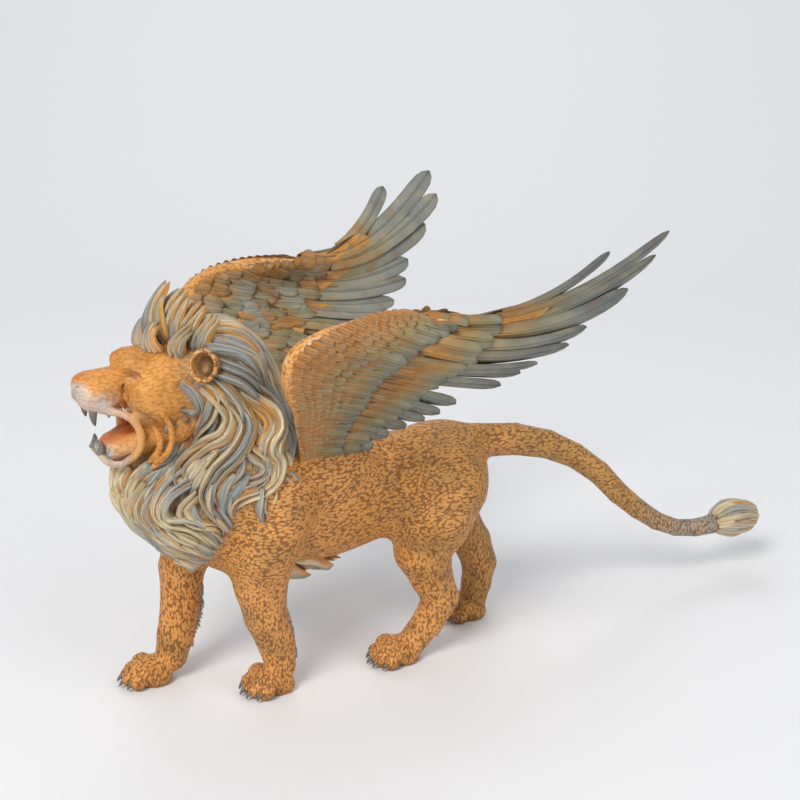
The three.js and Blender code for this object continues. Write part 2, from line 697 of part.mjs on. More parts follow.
// The fringe down the back of a leg: a plate with a saw edge
function fringe({ y, top, foot, reach, teeth }) {
  const [dx, dz] = [foot[0] - top[0], foot[1] - top[1]];
  const place = (t, out) => new THREE.Vector2(top[0] + t * dx + out, top[1] + t * dz - 0.5 * out);
  const outline = [place(0, -8), place(0, 0)];
  for (let i = 0; i < teeth; i++) {
    const full = Math.sqrt(Math.sin((Math.PI * (i + 1)) / (teeth + 1)));
    if (i > 0) outline.push(place(i / teeth, 0.35 * reach));
    outline.push(place((i + 0.75) / teeth, reach * full));
  }
  outline.push(place(1, 0), place(1, -8));
  const plate = new THREE.ExtrudeGeometry(new THREE.Shape(outline), {
    depth: FRINGE_THICKNESS,
    bevelEnabled: false,
  });
  plate.rotateX(Math.PI / 2);
  plate.translate(0, y + FRINGE_THICKNESS / 2, 0);
  return solid(plate);
}

function fang({ from, to, r }) {
  const [base, end] = [vector(from), vector(to)];
  const sections = [[0, 1], [0.6, 0.75], [1, 0.12]].map(([t, share]) =>
    Array.from({ length: 5 }, (_, i) => {
      const angle = (i / 5) * 2 * Math.PI;
      const out = new THREE.Vector3(Math.cos(angle), Math.sin(angle), 0);
      return base.clone().lerp(end, t).addScaledVector(out, r * share);
    }),
  );
  return loft(sections);
}

// The left wing as a surface: `s` counts feathers from the body outwards, `t` runs from root to tip

const LAST = FEATHERS.length - 1;
const wingCurves = ["root", "mid", "tip"].map(
  (place) => new THREE.CatmullRomCurve3(FEATHERS.map((feather) => vector(feather[place]))),
);

function pointOn(curve, s) {
  const inside = Math.min(LAST, Math.max(0, s));
  const next = Math.max(1, Math.ceil(inside));
  const step = curve.points[next].clone().sub(curve.points[next - 1]);
  return curve.getPoint(inside / LAST).addScaledVector(step, s - inside);
}

function wingPoint(s, t) {
  const [root, mid, tip] = wingCurves.map((curve) => pointOn(curve, s));
  return root
    .multiplyScalar((1 - t) * (1 - 2 * t))
    .addScaledVector(mid, 4 * t * (1 - t))
    .addScaledVector(tip, t * (2 * t - 1));
}

// Directions on the wing: along the feather, along the wing, and out of its inner face
function wingFrame(s, t) {
  const along = wingPoint(s, t + 0.01).sub(wingPoint(s, t - 0.01)).normalize();
  const outward = wingPoint(s + 0.2, t).sub(wingPoint(s - 0.2, t)).normalize();
  const up = outward.clone().cross(along).normalize();
  return { along, outward, up, across: up.clone().cross(along) };
}

// The thick part of the wing, from the front edge to where the feathers part
function wingCore() {
  const sections = [];
  for (let s = 0; s <= LAST; s += CORE.step) {
    const reach = s > 9 ? 0.75 : 1;
    const side = (sign) =>
      CORE.shares.map((share) => {
        const t = share * reach;
        return wingPoint(s, t).addScaledVector(wingFrame(s, t).up, sign * CORE.half * (1.15 - t));
      });
    sections.push([...side(1), ...side(-1).reverse()]);
  }
  return loft(sections);
}

function wingEdge() {
  const sections = [];
  for (let s = EDGE.from; s <= LAST; s += EDGE.step) {
    const { outward, up } = wingFrame(s, 0.02);
    const across = outward.clone().cross(up).normalize();
    const swell = Math.min(1, 0.45 + (s - EDGE.from) / 2) * (1 - 0.1 * Math.max(0, s - 10));
    sections.push(
      Array.from({ length: EDGE.sides }, (_, i) => {
        const angle = (i / EDGE.sides) * 2 * Math.PI;
        return wingPoint(s, 0.02)
          .addScaledVector(across, EDGE.half * swell * Math.cos(angle))
          .addScaledVector(up, EDGE.half * swell * Math.sin(angle));
      }),
    );
  }
  return loft(sections);
}

// A feather: a vane with a raised shaft and a rounded end, that rises from the wing towards its tip
const VANE_OUTLINE = [[0, 0.9], [0.3, 1], [0.6, 1], [0.82, 0.94], [0.94, 0.68], [1, 0.2]];

function feather({ s, from, to, width, half, rise = 0 }) {
  const sections = VANE_OUTLINE.map(([share, spread]) => {
    const t = from + (to - from) * share;
    const { up, across } = wingFrame(s, t);
    const p = wingPoint(s, t).addScaledVector(up, rise * share);
    const corner = (a, b) => p.clone().addScaledVector(across, a * width).addScaledVector(up, b * half);
    return [corner(-spread / 2, -0.5), corner(0, 1), corner(spread / 2, 0.5), corner(0, -1)];
  });
  return loft(sections);
}

function flightFeathers() {
  return FEATHERS.slice(1).map((_, i) => {
    const s = i + 1;
    const hand = s >= FIRST_OF_HAND;
    const width = s === LAST ? VANE.outer : hand ? VANE.hand : VANE.arm;
    return feather({ s, from: hand ? 0.3 : 0.4, to: 1, width, half: VANE.half });
  });
}

// Rows of shorter feathers that lie over the flight feathers, on both faces of the wing
function coverts() {
  return COVERTS.flatMap(({ face, end, length }) => {
    const row = [];
    for (let s = 1.5; s <= COVERT.last; s++) {
      const to = end * Math.min(1, 1 - 0.055 * (s - FIRST_OF_HAND));
      row.push(feather({ s, from: to - length, to, ...COVERT, rise: face * COVERT.rise }));
    }
    return row;
  });
}

function leftWing() {
  const { union } = wasm.Manifold;
  return reduced(union([wingCore(), wingEdge(), ...flightFeathers(), ...coverts()]), WING_FACES);
}

// The casting

// Fills the pockets that locks close off between them
function withoutPockets(manifold) {
  const shells = manifold.decompose();
  return shells.reduce((most, shell) => (shell.volume() > most.volume() ? shell : most));
}

function casting() {
  const { union } = wasm.Manifold;
  const fangs = FANGS.flatMap((tooth) => [
    fang(tooth),
    fang({ ...tooth, from: otherSide(tooth.from), to: otherSide(tooth.to) }),
  ]);
  const fringes = Object.values(LEGS).map((leg) => fringe(leg.fringe));
  const carved = [softForms(), ...maneLocks(), ...freeTufts(), ...tailLocks(), ...fringes, ...fangs];
  const right = leftWing();
  const whole = union([reduced(union(carved), CARVED_FACES), right, right.mirror([0, 1, 0])]);
  const floor = new THREE.BoxGeometry(800, 400, 60);
  floor.translate(100, 0, -30);
  const { vertProperties, triVerts } = withoutPockets(whole.subtract(solid(floor))).getMesh();
  const geometry = new THREE.BufferGeometry();
  geometry.setAttribute("position", new THREE.Float32BufferAttribute(vertProperties, 3));
  geometry.setIndex([...triVerts]);
  geometry.computeVertexNormals();
  return geometry;
}

const lion = new THREE.Mesh(casting(), new THREE.MeshStandardMaterial(PATINA));
lion.name = "winged_lion";
lion.geometry.computeBoundingBox();
const box = lion.geometry.boundingBox;
lion.position.set(-(box.min.x + box.max.x) / 2, -(box.min.y + box.max.y) / 2, -box.min.z);

const statue = new THREE.Group();
statue.add(lion);

export default statue;
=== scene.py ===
"""Looks of the winged lion statue: one bronze casting with its fur, mane, feathers and patina.

Forms are placed in millimetres, with the lion facing -X, its left side -Y, and the origin on the
floor between its paws. They become metres in the row's frame when the mesh is made.
"""

import math

import bpy
import numpy as np
import openvdb
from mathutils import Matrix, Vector
from mathutils.bvhtree import BVHTree


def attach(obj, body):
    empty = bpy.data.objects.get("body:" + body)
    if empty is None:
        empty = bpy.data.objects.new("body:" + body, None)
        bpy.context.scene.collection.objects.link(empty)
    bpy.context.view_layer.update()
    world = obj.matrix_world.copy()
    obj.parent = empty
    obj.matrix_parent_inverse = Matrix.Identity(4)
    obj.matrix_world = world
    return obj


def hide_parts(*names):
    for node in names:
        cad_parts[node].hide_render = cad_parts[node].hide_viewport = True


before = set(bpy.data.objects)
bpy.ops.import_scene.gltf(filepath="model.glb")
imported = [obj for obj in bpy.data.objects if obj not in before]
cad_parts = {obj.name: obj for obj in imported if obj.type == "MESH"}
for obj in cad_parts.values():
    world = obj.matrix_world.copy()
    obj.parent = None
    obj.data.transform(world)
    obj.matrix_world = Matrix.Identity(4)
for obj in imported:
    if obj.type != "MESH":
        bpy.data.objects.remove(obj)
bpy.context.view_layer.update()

MM = 0.001
CENTRE_X = 124.2  # where the row's origin lies in the working frame
CELL = 1.2  # grid of the soft forms
BODY_FACES = 38000  # faces that the body's surface is thinned to; keeps the whole casting under 200,000 triangles
SEED = 7

# The soft forms, as in the part's source: (centre, half sizes), and limbs as (joint, radius)
TORSO = [
    ((0, 0, 137), (72, 36, 49)),
    ((54, 0, 137), (58, 29, 37)),
    ((97, 0, 139), (42, 34, 39)),
    ((-58, 0, 148), (56, 41, 60)),
]
WING_ROOT = ((-4, 24, 166), (34, 17, 24))
LEGS = {
    "left_fore": [
        ((-46, -30, 150), 27), ((-58, -32, 116), 25), ((-59, -29, 88), 19), ((-55, -26, 62), 15.5),
        ((-47, -25, 38), 13.5), ((-44, -25, 20), 11.5),
    ],
    "right_fore": [
        ((-56, 28, 150), 27), ((-84, 31, 118), 24), ((-98, 29, 88), 17), ((-101, 28, 60), 14.5),
        ((-106, 28, 34), 13.5), ((-110, 28, 18), 12),
    ],
    "left_hind": [
        ((92, -20, 134), 35), ((80, -25, 112), 31), ((73, -27, 88), 22), ((80, -27, 66), 16.5),
        ((88, -27, 47), 14), ((80, -26, 30), 12), ((66, -25, 14), 11),
    ],
    "right_hind": [
        ((102, 20, 134), 34), ((114, 24, 108), 27), ((129, 24, 84), 20), ((144, 23, 64), 15.5),
        ((151, 22, 44), 14), ((148, 21, 26), 12), ((144, 20, 13), 11),
    ],
}
PAWS = {  # centre on the floor, and how far the paw turns
    "left_fore": ((-54, -24), 12),
    "right_fore": ((-129, 30), -4),
    "left_hind": ((49, -25), 6),
    "right_hind": ((134, 19), 2),
}
FRINGES = {  # y, top, foot, reach, teeth
    "left_fore": (-27, (-43, 74), (-34, 26), 5, 15),
    "right_fore": (28, (-85, 70), (-96, 24), 5, 15),
    "left_hind": (-27, (97, 38), (83, 16), 3, 8),
    "right_hind": (22, (157, 62), (157, 26), 5, 12),
}
TAIL = [
    ((110, 0, 158), 17), ((134, 0, 158), 13.4), ((168, 0, 154), 12.7), ((199, 0, 145), 11.5),
    ((226, 0, 131), 10.2), ((251, 0, 112), 9.6), ((271, 0, 91), 9.1), ((292, 0, 73), 8.4),
    ((313, 0, 58), 7.7), ((334, 0, 48), 7.2), ((355, 0, 44), 7.6), ((374, 0, 44), 8.4),
]
TUFT = [((391, 0, 48), (18, 12, 12)), ((407, 0, 47), (14, 10, 10))]
HEAD = [
    ((-106, 0, 242), (32, 31, 27)),
    ((-123, 0, 250), (21, 20, 14)),
    ((-150, 0, 242), (24, 14, 11)),
    ((-168, 0, 244), (8, 9.5, 7)),
]
HEAD_PAIRS = [
    ((-122, 17, 231), (22, 14, 19)),
    ((-128, 21, 241), (13, 7, 6)),
    ((-136, 10, 256), (11, 9, 6.5)),
    ((-160, 8, 235), (15, 10, 9.5)),
]
MANE = [
    ((-80, 0, 237), (37, 44, 37)),
    ((-68, 0, 200), (38, 50, 46)),
    ((-95, 0, 156), (40, 43, 50)),
    ((-116, 0, 168), (33, 33, 32)),
]
MANE_PAIRS = [((-62, 16, 168), (34, 34, 34))]

# Lines of the face, on the left side
LIP = [
    (-171, -8, 238.5), (-167, -11.5, 232.5), (-161, -14, 228.5), (-154.7, -17, 227), (-148.9, -20, 226),
    (-143.3, -23, 222), (-139.3, -24.5, 215.6), (-138.2, -25, 208.5), (-139.8, -23, 200.1),
    (-144.5, -19, 193.3), (-151.9, -15, 189.2), (-159, -12, 191.3), (-163.5, -9, 197),
]
LIP_GROOVE = [(-137, -27, 222), (-133.5, -28.5, 213), (-133.5, -28, 203), (-137, -25, 193), (-144, -20, 186)]
MOUTH_FOLD = [(-146, -21, 231), (-135.3, -26, 224.5), (-126.4, -29.5, 217)]
CHEEK_FOLDS = [
    [(-126.8, -30, 229), (-121.1, -32, 219), (-119.6, -33, 207.6), (-124.4, -31, 195.7), (-133.3, -27, 187)],
    [(-131, -29.5, 217), (-127.4, -31, 209), (-129, -29.5, 199), (-135, -26, 192)],
]
UPPER_LID = [(-142.4, -12.5, 249.5), (-138.8, -16.5, 252.2), (-134, -19, 250.6), (-128.5, -21, 246.3)]
LOWER_LID = [(-141.4, -13, 247), (-137, -17, 245), (-131, -20, 244.6)]
UNDER_EYE = [(-145, -12, 244), (-145.5, -14, 239.5), (-142.4, -18, 234)]
EYE = ((-136, -14.8, 248.6), 4.3)
NOSTRIL = ((-173.5, -5.6, 243.5), (3.4, 2.3, 2))
EAR_AT = (-98, -41, 257.5)
EAR_OUT = (-0.62, -0.74, 0.28)  # the way that its cup faces
JAW = [((-112, -19, 210), 10), ((-150, -8, 198), 7)]
CHIN = ((-153, 0, 197), (9, 10, 8))
MOUTH = [((-150, 0, 216), (26, 14, 12.5), 14), ((-130, 0, 216), (14, 15, 14), 0)]

# Locks of the left side: width, height and the places that each runs through
LOCKS = [
    (14, 8, (-84, -10, 280), (-66, -12, 276), (-50, -15, 264), (-39, -19, 247), (-31, -25, 226)),
    (16, 8, (-92, -24, 272), (-75, -31, 266), (-58, -35, 254), (-47, -38, 240), (-42, -40, 224)),
    (14, 9, (-90, -38, 258), (-74, -44, 250), (-57, -47, 238), (-43, -48, 222), (-41, -48, 208)),
    (13, 10, (-72, -46, 241), (-53, -50, 228), (-46, -52, 214), (-58, -54, 202), (-58, -55, 192),
     (-50, -55, 181), (-62, -53, 171), (-80, -49, 164), (-86, -47, 155), (-78, -46, 144)),
    (14, 11, (-97, -41, 247), (-86, -46, 235), (-80, -50, 221), (-87, -52, 208), (-103, -44, 199),
     (-113, -38, 189), (-115, -38, 180), (-109, -40, 172)),
    (11, 10, (-85, -46, 238), (-75, -50, 227), (-71, -53, 216), (-79, -55, 200), (-95, -49, 182),
     (-101, -46, 170), (-97, -46, 157), (-87, -46, 144), (-83, -44, 131)),
    (14, 10, (-113, -38, 182), (-126, -33, 173), (-132, -30, 159), (-126, -31, 148), (-112, -38, 144),
     (-102, -39, 133), (-95, -35, 120)),
    (12, 9, (-134, -28, 175), (-142, -23, 159), (-140, -20, 144), (-131, -23, 134), (-120, -27, 134)),
    (13, 9, (-113, -33, 212), (-121, -29, 194), (-134, -25, 186), (-143, -21, 176), (-147, -18, 166)),
    (10, 8, (-104, -38, 247), (-94, -44, 238), (-97, -44, 226), (-107, -38, 208), (-118, -32, 193)),
    (8, 7, (-112, -33, 246), (-103, -38, 238), (-101, -40, 228), (-106, -38, 219), (-113, -34, 223)),
    (13, 9, (-58, -50, 168), (-61, -53, 153), (-51, -54, 143), (-39, -52, 147), (-30, -47, 158)),
    (13, 9, (-38, -42, 214), (-30, -42, 203), (-28, -44, 190), (-31, -47, 177), (-39, -49, 166)),
    (12, 7, (-70, -52, 200), (-58, -53, 188), (-62, -52, 176), (-75, -50, 171)),
    (10, 8, (-106, -42, 170), (-116, -39, 158), (-108, -42, 149), (-96, -44, 145), (-89, -43, 137)),
    (12, 8, (-120, -9, 100), (-107, -10, 90), (-93, -11, 83), (-82, -13, 82)),
    (13, 8, (-148, -12, 164), (-150, -10, 147), (-143, -10, 130), (-131, -12, 115), (-118, -14, 104)),
    (12, 8, (-148, -9, 188), (-156, -7, 174), (-155, -8, 160)),
    (12, 8, (-45, -51, 174), (-38, -51, 161), (-43, -49, 148), (-56, -45, 139)),
    (15, 8, (-56, -6, 269), (-42, -8, 252), (-33, -10, 233), (-29, -12, 213), (-26, -13, 194)),
    (13, 8, (-32, -28, 222), (-27, -30, 206), (-25, -32, 191), (-29, -34, 176)),
]
# Tufts that stand free: width, height, the way that the broad side faces, and places
TUFTS = [
    (13, 8, (-1, -0.3, 0.2), (-108, -3, 258), (-116, -3, 276), (-116, -2, 292), (-106, 0, 307)),
    (13, 8, (-1, -0.6, 0.3), (-104, -9, 258), (-108, -9, 276), (-104, -8, 290), (-95, -6, 302)),
    (12, 8, (-1, 0.3, 0.3), (-104, 4, 258), (-108, 5, 276), (-105, 6, 290), (-98, 7, 300)),
    (11, 7, (-1, -0.8, 0.3), (-98, -15, 258), (-99, -16, 272), (-94, -17, 284), (-86, -16, 293)),
    (10, 7, (-1, -0.8, 0.3), (-92, -21, 258), (-92, -23, 269), (-87, -23, 279), (-80, -21, 286)),
    (11, 7, (-1, 0.8, 0.3), (-96, 14, 258), (-96, 16, 270), (-91, 17, 280), (-84, 17, 288)),
    (9, 6, (-1, -0.4, 0.3), (-117, -9, 258), (-123, -10, 268), (-123, -10, 277), (-117, -9, 283)),
    (9, 6, (-1, 0.4, 0.3), (-117, 10, 258), (-124, 12, 268), (-125, 12, 276), (-120, 12, 283)),
    (9, 6, (-0.6, -1, 0.3), (-107, -19, 258), (-110, -22, 267), (-106, -24, 275), (-99, -24, 281)),
    (14, 9, (-0.3, -0.6, -1), (-66, -9, 97), (-54, -11, 88), (-42, -10, 79), (-34, -9, 73)),
    (13, 9, (-0.3, 0.4, -1), (-60, 8, 97), (-46, 9, 86), (-35, 8, 77), (-27, 6, 73)),
    (13, 8, (0, -0.6, -1), (-48, -8, 96), (-34, -10, 87), (-22, -9, 80), (-13, -8, 77)),
    (12, 8, (0, 0.5, -1), (-38, 5, 96), (-24, 6, 87), (-13, 5, 80), (-4, 3, 77)),
    (12, 8, (0, -0.6, -1), (-26, -6, 96), (-12, -7, 89), (-2, -6, 82), (7, -5, 80)),
    (11, 7, (0, 0.5, -1), (-14, 4, 94), (0, 4, 88), (10, 3, 83), (18, 2, 82)),
]

# The left wing, with y positive: each feather from the bone, through a middle place, to its tip
FEATHERS = np.array([
    ((-28, 30, 158), (-3, 27, 156), (24, 24, 158)),
    ((-30, 41, 187), (-2, 37, 183), (28, 32, 178)),
    ((-38, 56, 204), (-2, 46, 199), (38, 37, 187)),
    ((-46, 72, 219), (0, 55, 212), (48, 45, 194)),
    ((-53, 86, 233), (1, 65, 222), (58, 55, 201)),
    ((-60, 96, 246), (2, 74, 231), (65, 65, 208)),
    ((-65, 102, 258), (5, 83, 240), (74, 72, 216)),
    ((-64, 104, 270), (14, 92, 249), (99, 91, 231)),
    ((-58, 106, 280), (28, 100, 254), (109, 100, 241)),
    ((-45, 108, 287), (40, 106, 256), (117, 109, 249)),
    ((-28, 107, 291), (55, 112, 262), (134, 121, 263)),
    ((-10, 104, 293), (68, 118, 268), (141, 131, 277)),
    ((8, 102, 293), (88, 124, 277), (164, 144, 303)),
    ((25, 104, 292), (102, 129, 287), (179, 152, 326)),
    ((40, 111, 291), (108, 137, 297), (179, 165, 344)),
    ((54, 117, 289), (98, 139, 301), (134, 163, 334)),
], float)


# Distance fields. A shape is the box round it and a function of x, y and z, negative inside.

def ellipsoid(at, size, tilt=0.0):
    c, s = math.cos(math.radians(tilt)), math.sin(math.radians(tilt))
    (ax, ay, az), (sx, sy, sz) = at, size
    reach = max(size)

    def distance(x, y, z):
        dx, dy, dz = x - ax, y - ay, z - az
        px, py, pz = (c * dx + s * dz) / sx, dy / sy, (c * dz - s * dx) / sz
        near = np.sqrt(px * px + py * py + pz * pz)
        slope = np.sqrt((px / sx) ** 2 + (py / sy) ** 2 + (pz / sz) ** 2)
        return near * (near - 1) / np.maximum(slope, 1e-9)

    return np.array(at) - reach, np.array(at) + reach, distance


def limb(start, r0, end, r1):
    a, b = np.array(start, float), np.array(end, float)
    d = b - a
    span = d @ d
    reach = max(r0, r1)

    def distance(x, y, z):
        px, py, pz = x - a[0], y - a[1], z - a[2]
        t = np.clip((px * d[0] + py * d[1] + pz * d[2]) / span, 0, 1)
        gap = np.sqrt((px - t * d[0]) ** 2 + (py - t * d[1]) ** 2 + (pz - t * d[2]) ** 2)
        return gap - (r0 + (r1 - r0) * t)

    return np.minimum(a, b) - reach, np.maximum(a, b) + reach, distance


def soft_min(a, b, seam):
    h = np.maximum(0, seam - np.abs(a - b)) / seam
    return np.minimum(a, b) - h * h * seam / 4


def blend(shapes, seam):
    low = np.min([s[0] for s in shapes], axis=0)
    high = np.max([s[1] for s in shapes], axis=0)

    def distance(x, y, z):
        d = shapes[0][2](x, y, z)
        for shape in shapes[1:]:
            d = soft_min(d, shape[2](x, y, z), seam)
        return d

    return low, high, distance


def chain(joints, seam=1.0):
    return blend([limb(*a, *b) for a, b in zip(joints, joints[1:])], seam)


def line(places, radius, ends=0.55):
    """A cord along some places, thinner at its ends."""
    curve = smooth_curve(places, 3 * len(places))
    t = np.linspace(-1, 1, len(curve))
    radii = radius * (ends + (1 - ends) * np.sqrt(np.maximum(0, 1 - t * t)))
    return chain([(p, r) for p, r in zip(curve, radii)], 0.5)


def other_side(shape_args):
    """The same point, or list of points, on the other side of the middle plane."""
    return np.array(shape_args, float) * (1, -1, 1)


class Field:
    """A grid of distances that shapes are joined to and cut from."""

    FAR = 6.0

    def __init__(self, low, high, cell):
        self.low, self.cell = np.array(low, float), cell
        self.count = np.ceil((np.array(high) - low) / cell).astype(int) + 1
        self.values = np.full(self.count, 99, np.float32)

    def _combine(self, shape, seam, sign):
        low, high, distance = shape
        margin = seam + 3 * self.cell
        start = np.clip(np.floor((low - margin - self.low) / self.cell).astype(int), 0, self.count)
        stop = np.clip(np.ceil((high + margin - self.low) / self.cell).astype(int) + 1, 0, self.count)
        if np.any(stop <= start):
            return
        axes = [self.low[i] + self.cell * np.arange(start[i], stop[i], dtype=np.float32) for i in range(3)]
        window = tuple(slice(a, b) for a, b in zip(start, stop))
        d = distance(axes[0][:, None, None], axes[1][None, :, None], axes[2][None, None, :])
        self.values[window] = sign * soft_min(sign * self.values[window], d, seam)

    def add(self, shape, seam):
        self._combine(shape, seam, 1)

    def cut(self, shape, seam):
        self._combine(shape, seam, -1)

    def surface(self):
        """The closed surface where the distance is nought, as points and triangles."""
        grid = openvdb.FloatGrid(self.FAR)
        grid.copyFromArray(np.clip(self.values, -self.FAR, self.FAR))
        points, quads = grid.convertToQuads(isovalue=0)
        points = points * self.cell + self.low
        faces = np.vstack([quads[:, [0, 1, 2]], quads[:, [0, 2, 3]]]).astype(int)
        a, b, c = points[faces[:, 0]], points[faces[:, 1]], points[faces[:, 2]]
        if np.einsum("ij,ij->", a, np.cross(b, c)) < 0:
            faces = faces[:, ::-1]
        return points, faces

    def sample(self, points):
        """The distance at some points, read from the grid."""
        f = (points - self.low) / self.cell
        i = np.clip(np.floor(f).astype(int), 0, self.count - 2)
        f = np.clip(f - i, 0, 1)
        total = np.zeros(len(points))
        for corner in np.ndindex(2, 2, 2):
            c = np.array(corner)
            weight = np.prod(np.where(c, f, 1 - f), axis=1)
            total += weight * self.values[tuple((i + c).T)]
        return total


def smooth_curve(places, count):
    """Points at equal steps along a curve through some places."""
    p = np.array(places, float)
    p = np.vstack([2 * p[0] - p[1], p, 2 * p[-1] - p[-2]])
    out = []
    for p0, p1, p2, p3 in zip(p, p[1:], p[2:], p[3:]):
        d0, d1, d2 = (max(1e-3, np.linalg.norm(b - a)) ** 0.5 for a, b in ((p0, p1), (p1, p2), (p2, p3)))
        m1 = ((p1 - p0) / d0 - (p2 - p0) / (d0 + d1) + (p2 - p1) / d1) * d1
        m2 = ((p2 - p1) / d1 - (p3 - p1) / (d1 + d2) + (p3 - p2) / d2) * d1
        t = np.linspace(0, 1, 12, endpoint=False)[:, None]
        out.append(p1 + m1 * t + (3 * (p2 - p1) - 2 * m1 - m2) * t**2 + (2 * (p1 - p2) + m1 + m2) * t**3)
    dense = np.vstack(out + [p[-2][None]])
    run = np.concatenate([[0], np.cumsum(np.linalg.norm(np.diff(dense, axis=0), axis=1))])
    want = np.linspace(0, run[-1], count)
    return np.stack([np.interp(want, run, dense[:, i]) for i in range(3)], axis=1)


def unit(v):
    return v / np.maximum(1e-9, np.linalg.norm(v, axis=-1, keepdims=True))


def both(pairs):
    return [item for at, size in pairs for item in ((at, size), (tuple(other_side(at)), size))]


# The mane's underlying mass, which locks are laid on

MANE_MASS = blend([ellipsoid(*form) for form in MANE + HEAD + both(MANE_PAIRS + HEAD_PAIRS)], 8)


def mane_distance(points):
    return MANE_MASS[2](points[..., 0], points[..., 1], points[..., 2])


def mane_normal(points):
    steps = np.eye(3)
    return unit(np.stack([mane_distance(points + s) - mane_distance(points - s) for s in steps], axis=-1))


def laid(points):
    """Moves points on to the mane's mass."""
    points = np.array(points, float)
    for _ in range(5):
        points = points - mane_normal(points) * mane_distance(points)[..., None]
    return points


# Soft forms: torso, legs, paws, tail, head and the mane's mass

def paw_forms(centre, turn):
    c, s = math.cos(math.radians(turn)), math.sin(math.radians(turn))

    def place(ahead, aside, z):
        return (centre[0] - c * ahead - s * aside, centre[1] - s * ahead + c * aside, z)

    forms = [(place(-4, 0, 8), (15, 13.5, 12), 3), (place(-6, 8, 5), (11, 7, 7), 3), (place(-6, -8, 5), (11, 7, 7), 3)]
    for i in (-1.5, -0.5, 0.5, 1.5):
        ahead = 14.5 - 2.6 * abs(i) ** 1.6
        forms.append((place(ahead - 8, 7.4 * i, 13), (7, 4.6, 5.4), 2.2))
        forms.append((place(ahead - 1, 8 * i, 6.2), (6.4, 4.7, 6), 1.4))
    return forms


def paw_claws(centre, turn):
    """Base, tip and radius of the four claws of a paw."""
    c, s = math.cos(math.radians(turn)), math.sin(math.radians(turn))

    def place(ahead, aside, z):
        return (centre[0] - c * ahead - s * aside, centre[1] - s * ahead + c * aside, z)

    claws = []
    for i in (-1.5, -0.5, 0.5, 1.5):
        ahead = 14.5 - 2.6 * abs(i) ** 1.6
        claws.append((place(ahead + 3, 8 * i, 6), place(ahead + 8, 8 * i, 2.2), 1.9))
    return claws


def ear_frame(side):
    out = unit(np.array(EAR_OUT) * (1, side, 1))
    up = unit(np.array((0, 0, 1.0)) - out * out[2])
    return np.array(EAR_AT) * (1, side, 1), out, up, np.cross(up, out)


def add_ear(field, side):
    at, out, up, across = ear_frame(side)
    field.add(ellipsoid(at + out * -5, (9.5, 9.5, 10)), 3)
    ring = [at + out * 2 + up * 10.2 * math.cos(a) + across * 8.4 * math.sin(a) for a in np.linspace(0, 2 * math.pi, 17)]
    field.add(chain([(p, 1.7) for p in ring], 0.5), 2)
    field.cut(ellipsoid(at + out * 2.5, (7.6, 7.6, 8.6)), 1)


def add_head(field):
    for at, size in HEAD + both(HEAD_PAIRS):
        field.add(ellipsoid(at, size), 6)
    for side in (1, -1):
        flip = (1, side, 1)
        field.add(chain([(np.array(p) * flip, r) for p, r in JAW], 1), 6)
    field.add(ellipsoid(*CHIN), 6)
    for at, size, tilt in MOUTH:
        field.cut(ellipsoid(at, size, tilt), 2.5)
    for side in (1, -1):
        flip = np.array((1, side, 1))
        field.add(line(LIP * flip, 2.7), 2)
        field.cut(line(LIP_GROOVE * flip, 1.5), 1.5)
        field.cut(line(MOUTH_FOLD * flip, 1.5), 2)
        for fold in CHEEK_FOLDS:
            field.add(line(fold * flip, 2.2), 3)
        field.cut(ellipsoid((-139.5, 16.5 * side, 249), (6, 5, 4)), 2.5)
        field.add(ellipsoid(EYE[0] * flip, (EYE[1],) * 3), 0.6)
        field.add(line(UPPER_LID * flip, 1.9), 1)
        field.add(line(LOWER_LID * flip, 1.6), 1)
        field.cut(line(UNDER_EYE * flip, 1.2), 1.5)
        field.cut(ellipsoid(NOSTRIL[0] * flip, NOSTRIL[1]), 1)
        add_ear(field, side)
    field.add(limb((-122, 0, 205), 8, (-149, 0, 200.5), 6), 2)
    field.add(limb((-126, 6, 208), 3, (-150, 4.5, 204.5), 2), 2)
    field.add(limb((-126, -6, 208), 3, (-150, -4.5, 204.5), 2), 2)


def soft_forms():
    field = Field((-186, -68, -6), (432, 68, 302), CELL)
    for at, size in TORSO + both([WING_ROOT]):
        field.add(ellipsoid(at, size), 16)
    field.add(chain(TAIL, 1), 8)
    for at, size in TUFT:
        field.add(ellipsoid(at, size), 5)
    for name, joints in LEGS.items():
        field.add(chain(joints, 2), 14)
        for at, size, seam in paw_forms(*PAWS[name]):
            field.add(ellipsoid(at, size), seam)
    for at, size in MANE + both(MANE_PAIRS):
        field.add(ellipsoid(at, size), 10)
    add_head(field)
    floor = field.low[2] + field.cell * np.arange(field.count[2])
    field.values = np.maximum(field.values, -floor[None, None, :].astype(np.float32))
    return field


# Colours of the patina, as they are seen
ORANGE = (212, 134, 58)
OCHRE = (196, 136, 66)
HONEY = (224, 158, 84)
UMBER = (122, 76, 34)
OLIVE = (158, 130, 74)
CREAM = (226, 208, 170)
BLUE_GREY = (142, 154, 160)
GREY_GREEN = (150, 148, 118)
PALE = (196, 196, 186)
DARK = (66, 52, 38)
TONGUE = (224, 132, 84)
LIP_GREY = (186, 190, 194)
HORN = (136, 126, 118)


def paint(colour):
    """An 8-bit colour as the linear light that a shader works in."""
    c = np.array(colour, float) / 255
    return np.where(c <= 0.04045, c / 12.92, ((c + 0.055) / 1.055) ** 2.4)


def mix(a, b, t):
    t = np.clip(np.asarray(t, float), 0, 1)[..., None]
    return a * (1 - t) + b * t


def ramp(value, stops):
    """The colour at a value, between (place, colour) stops."""
    places = [s[0] for s in stops]
    colours = np.array([paint(s[1]) for s in stops])
    return np.stack([np.interp(value, places, colours[:, i]) for i in range(3)], axis=-1)


def smooth_step(low, high, value):
    t = np.clip((value - low) / (high - low), 0, 1)
    return t * t * (3 - 2 * t)


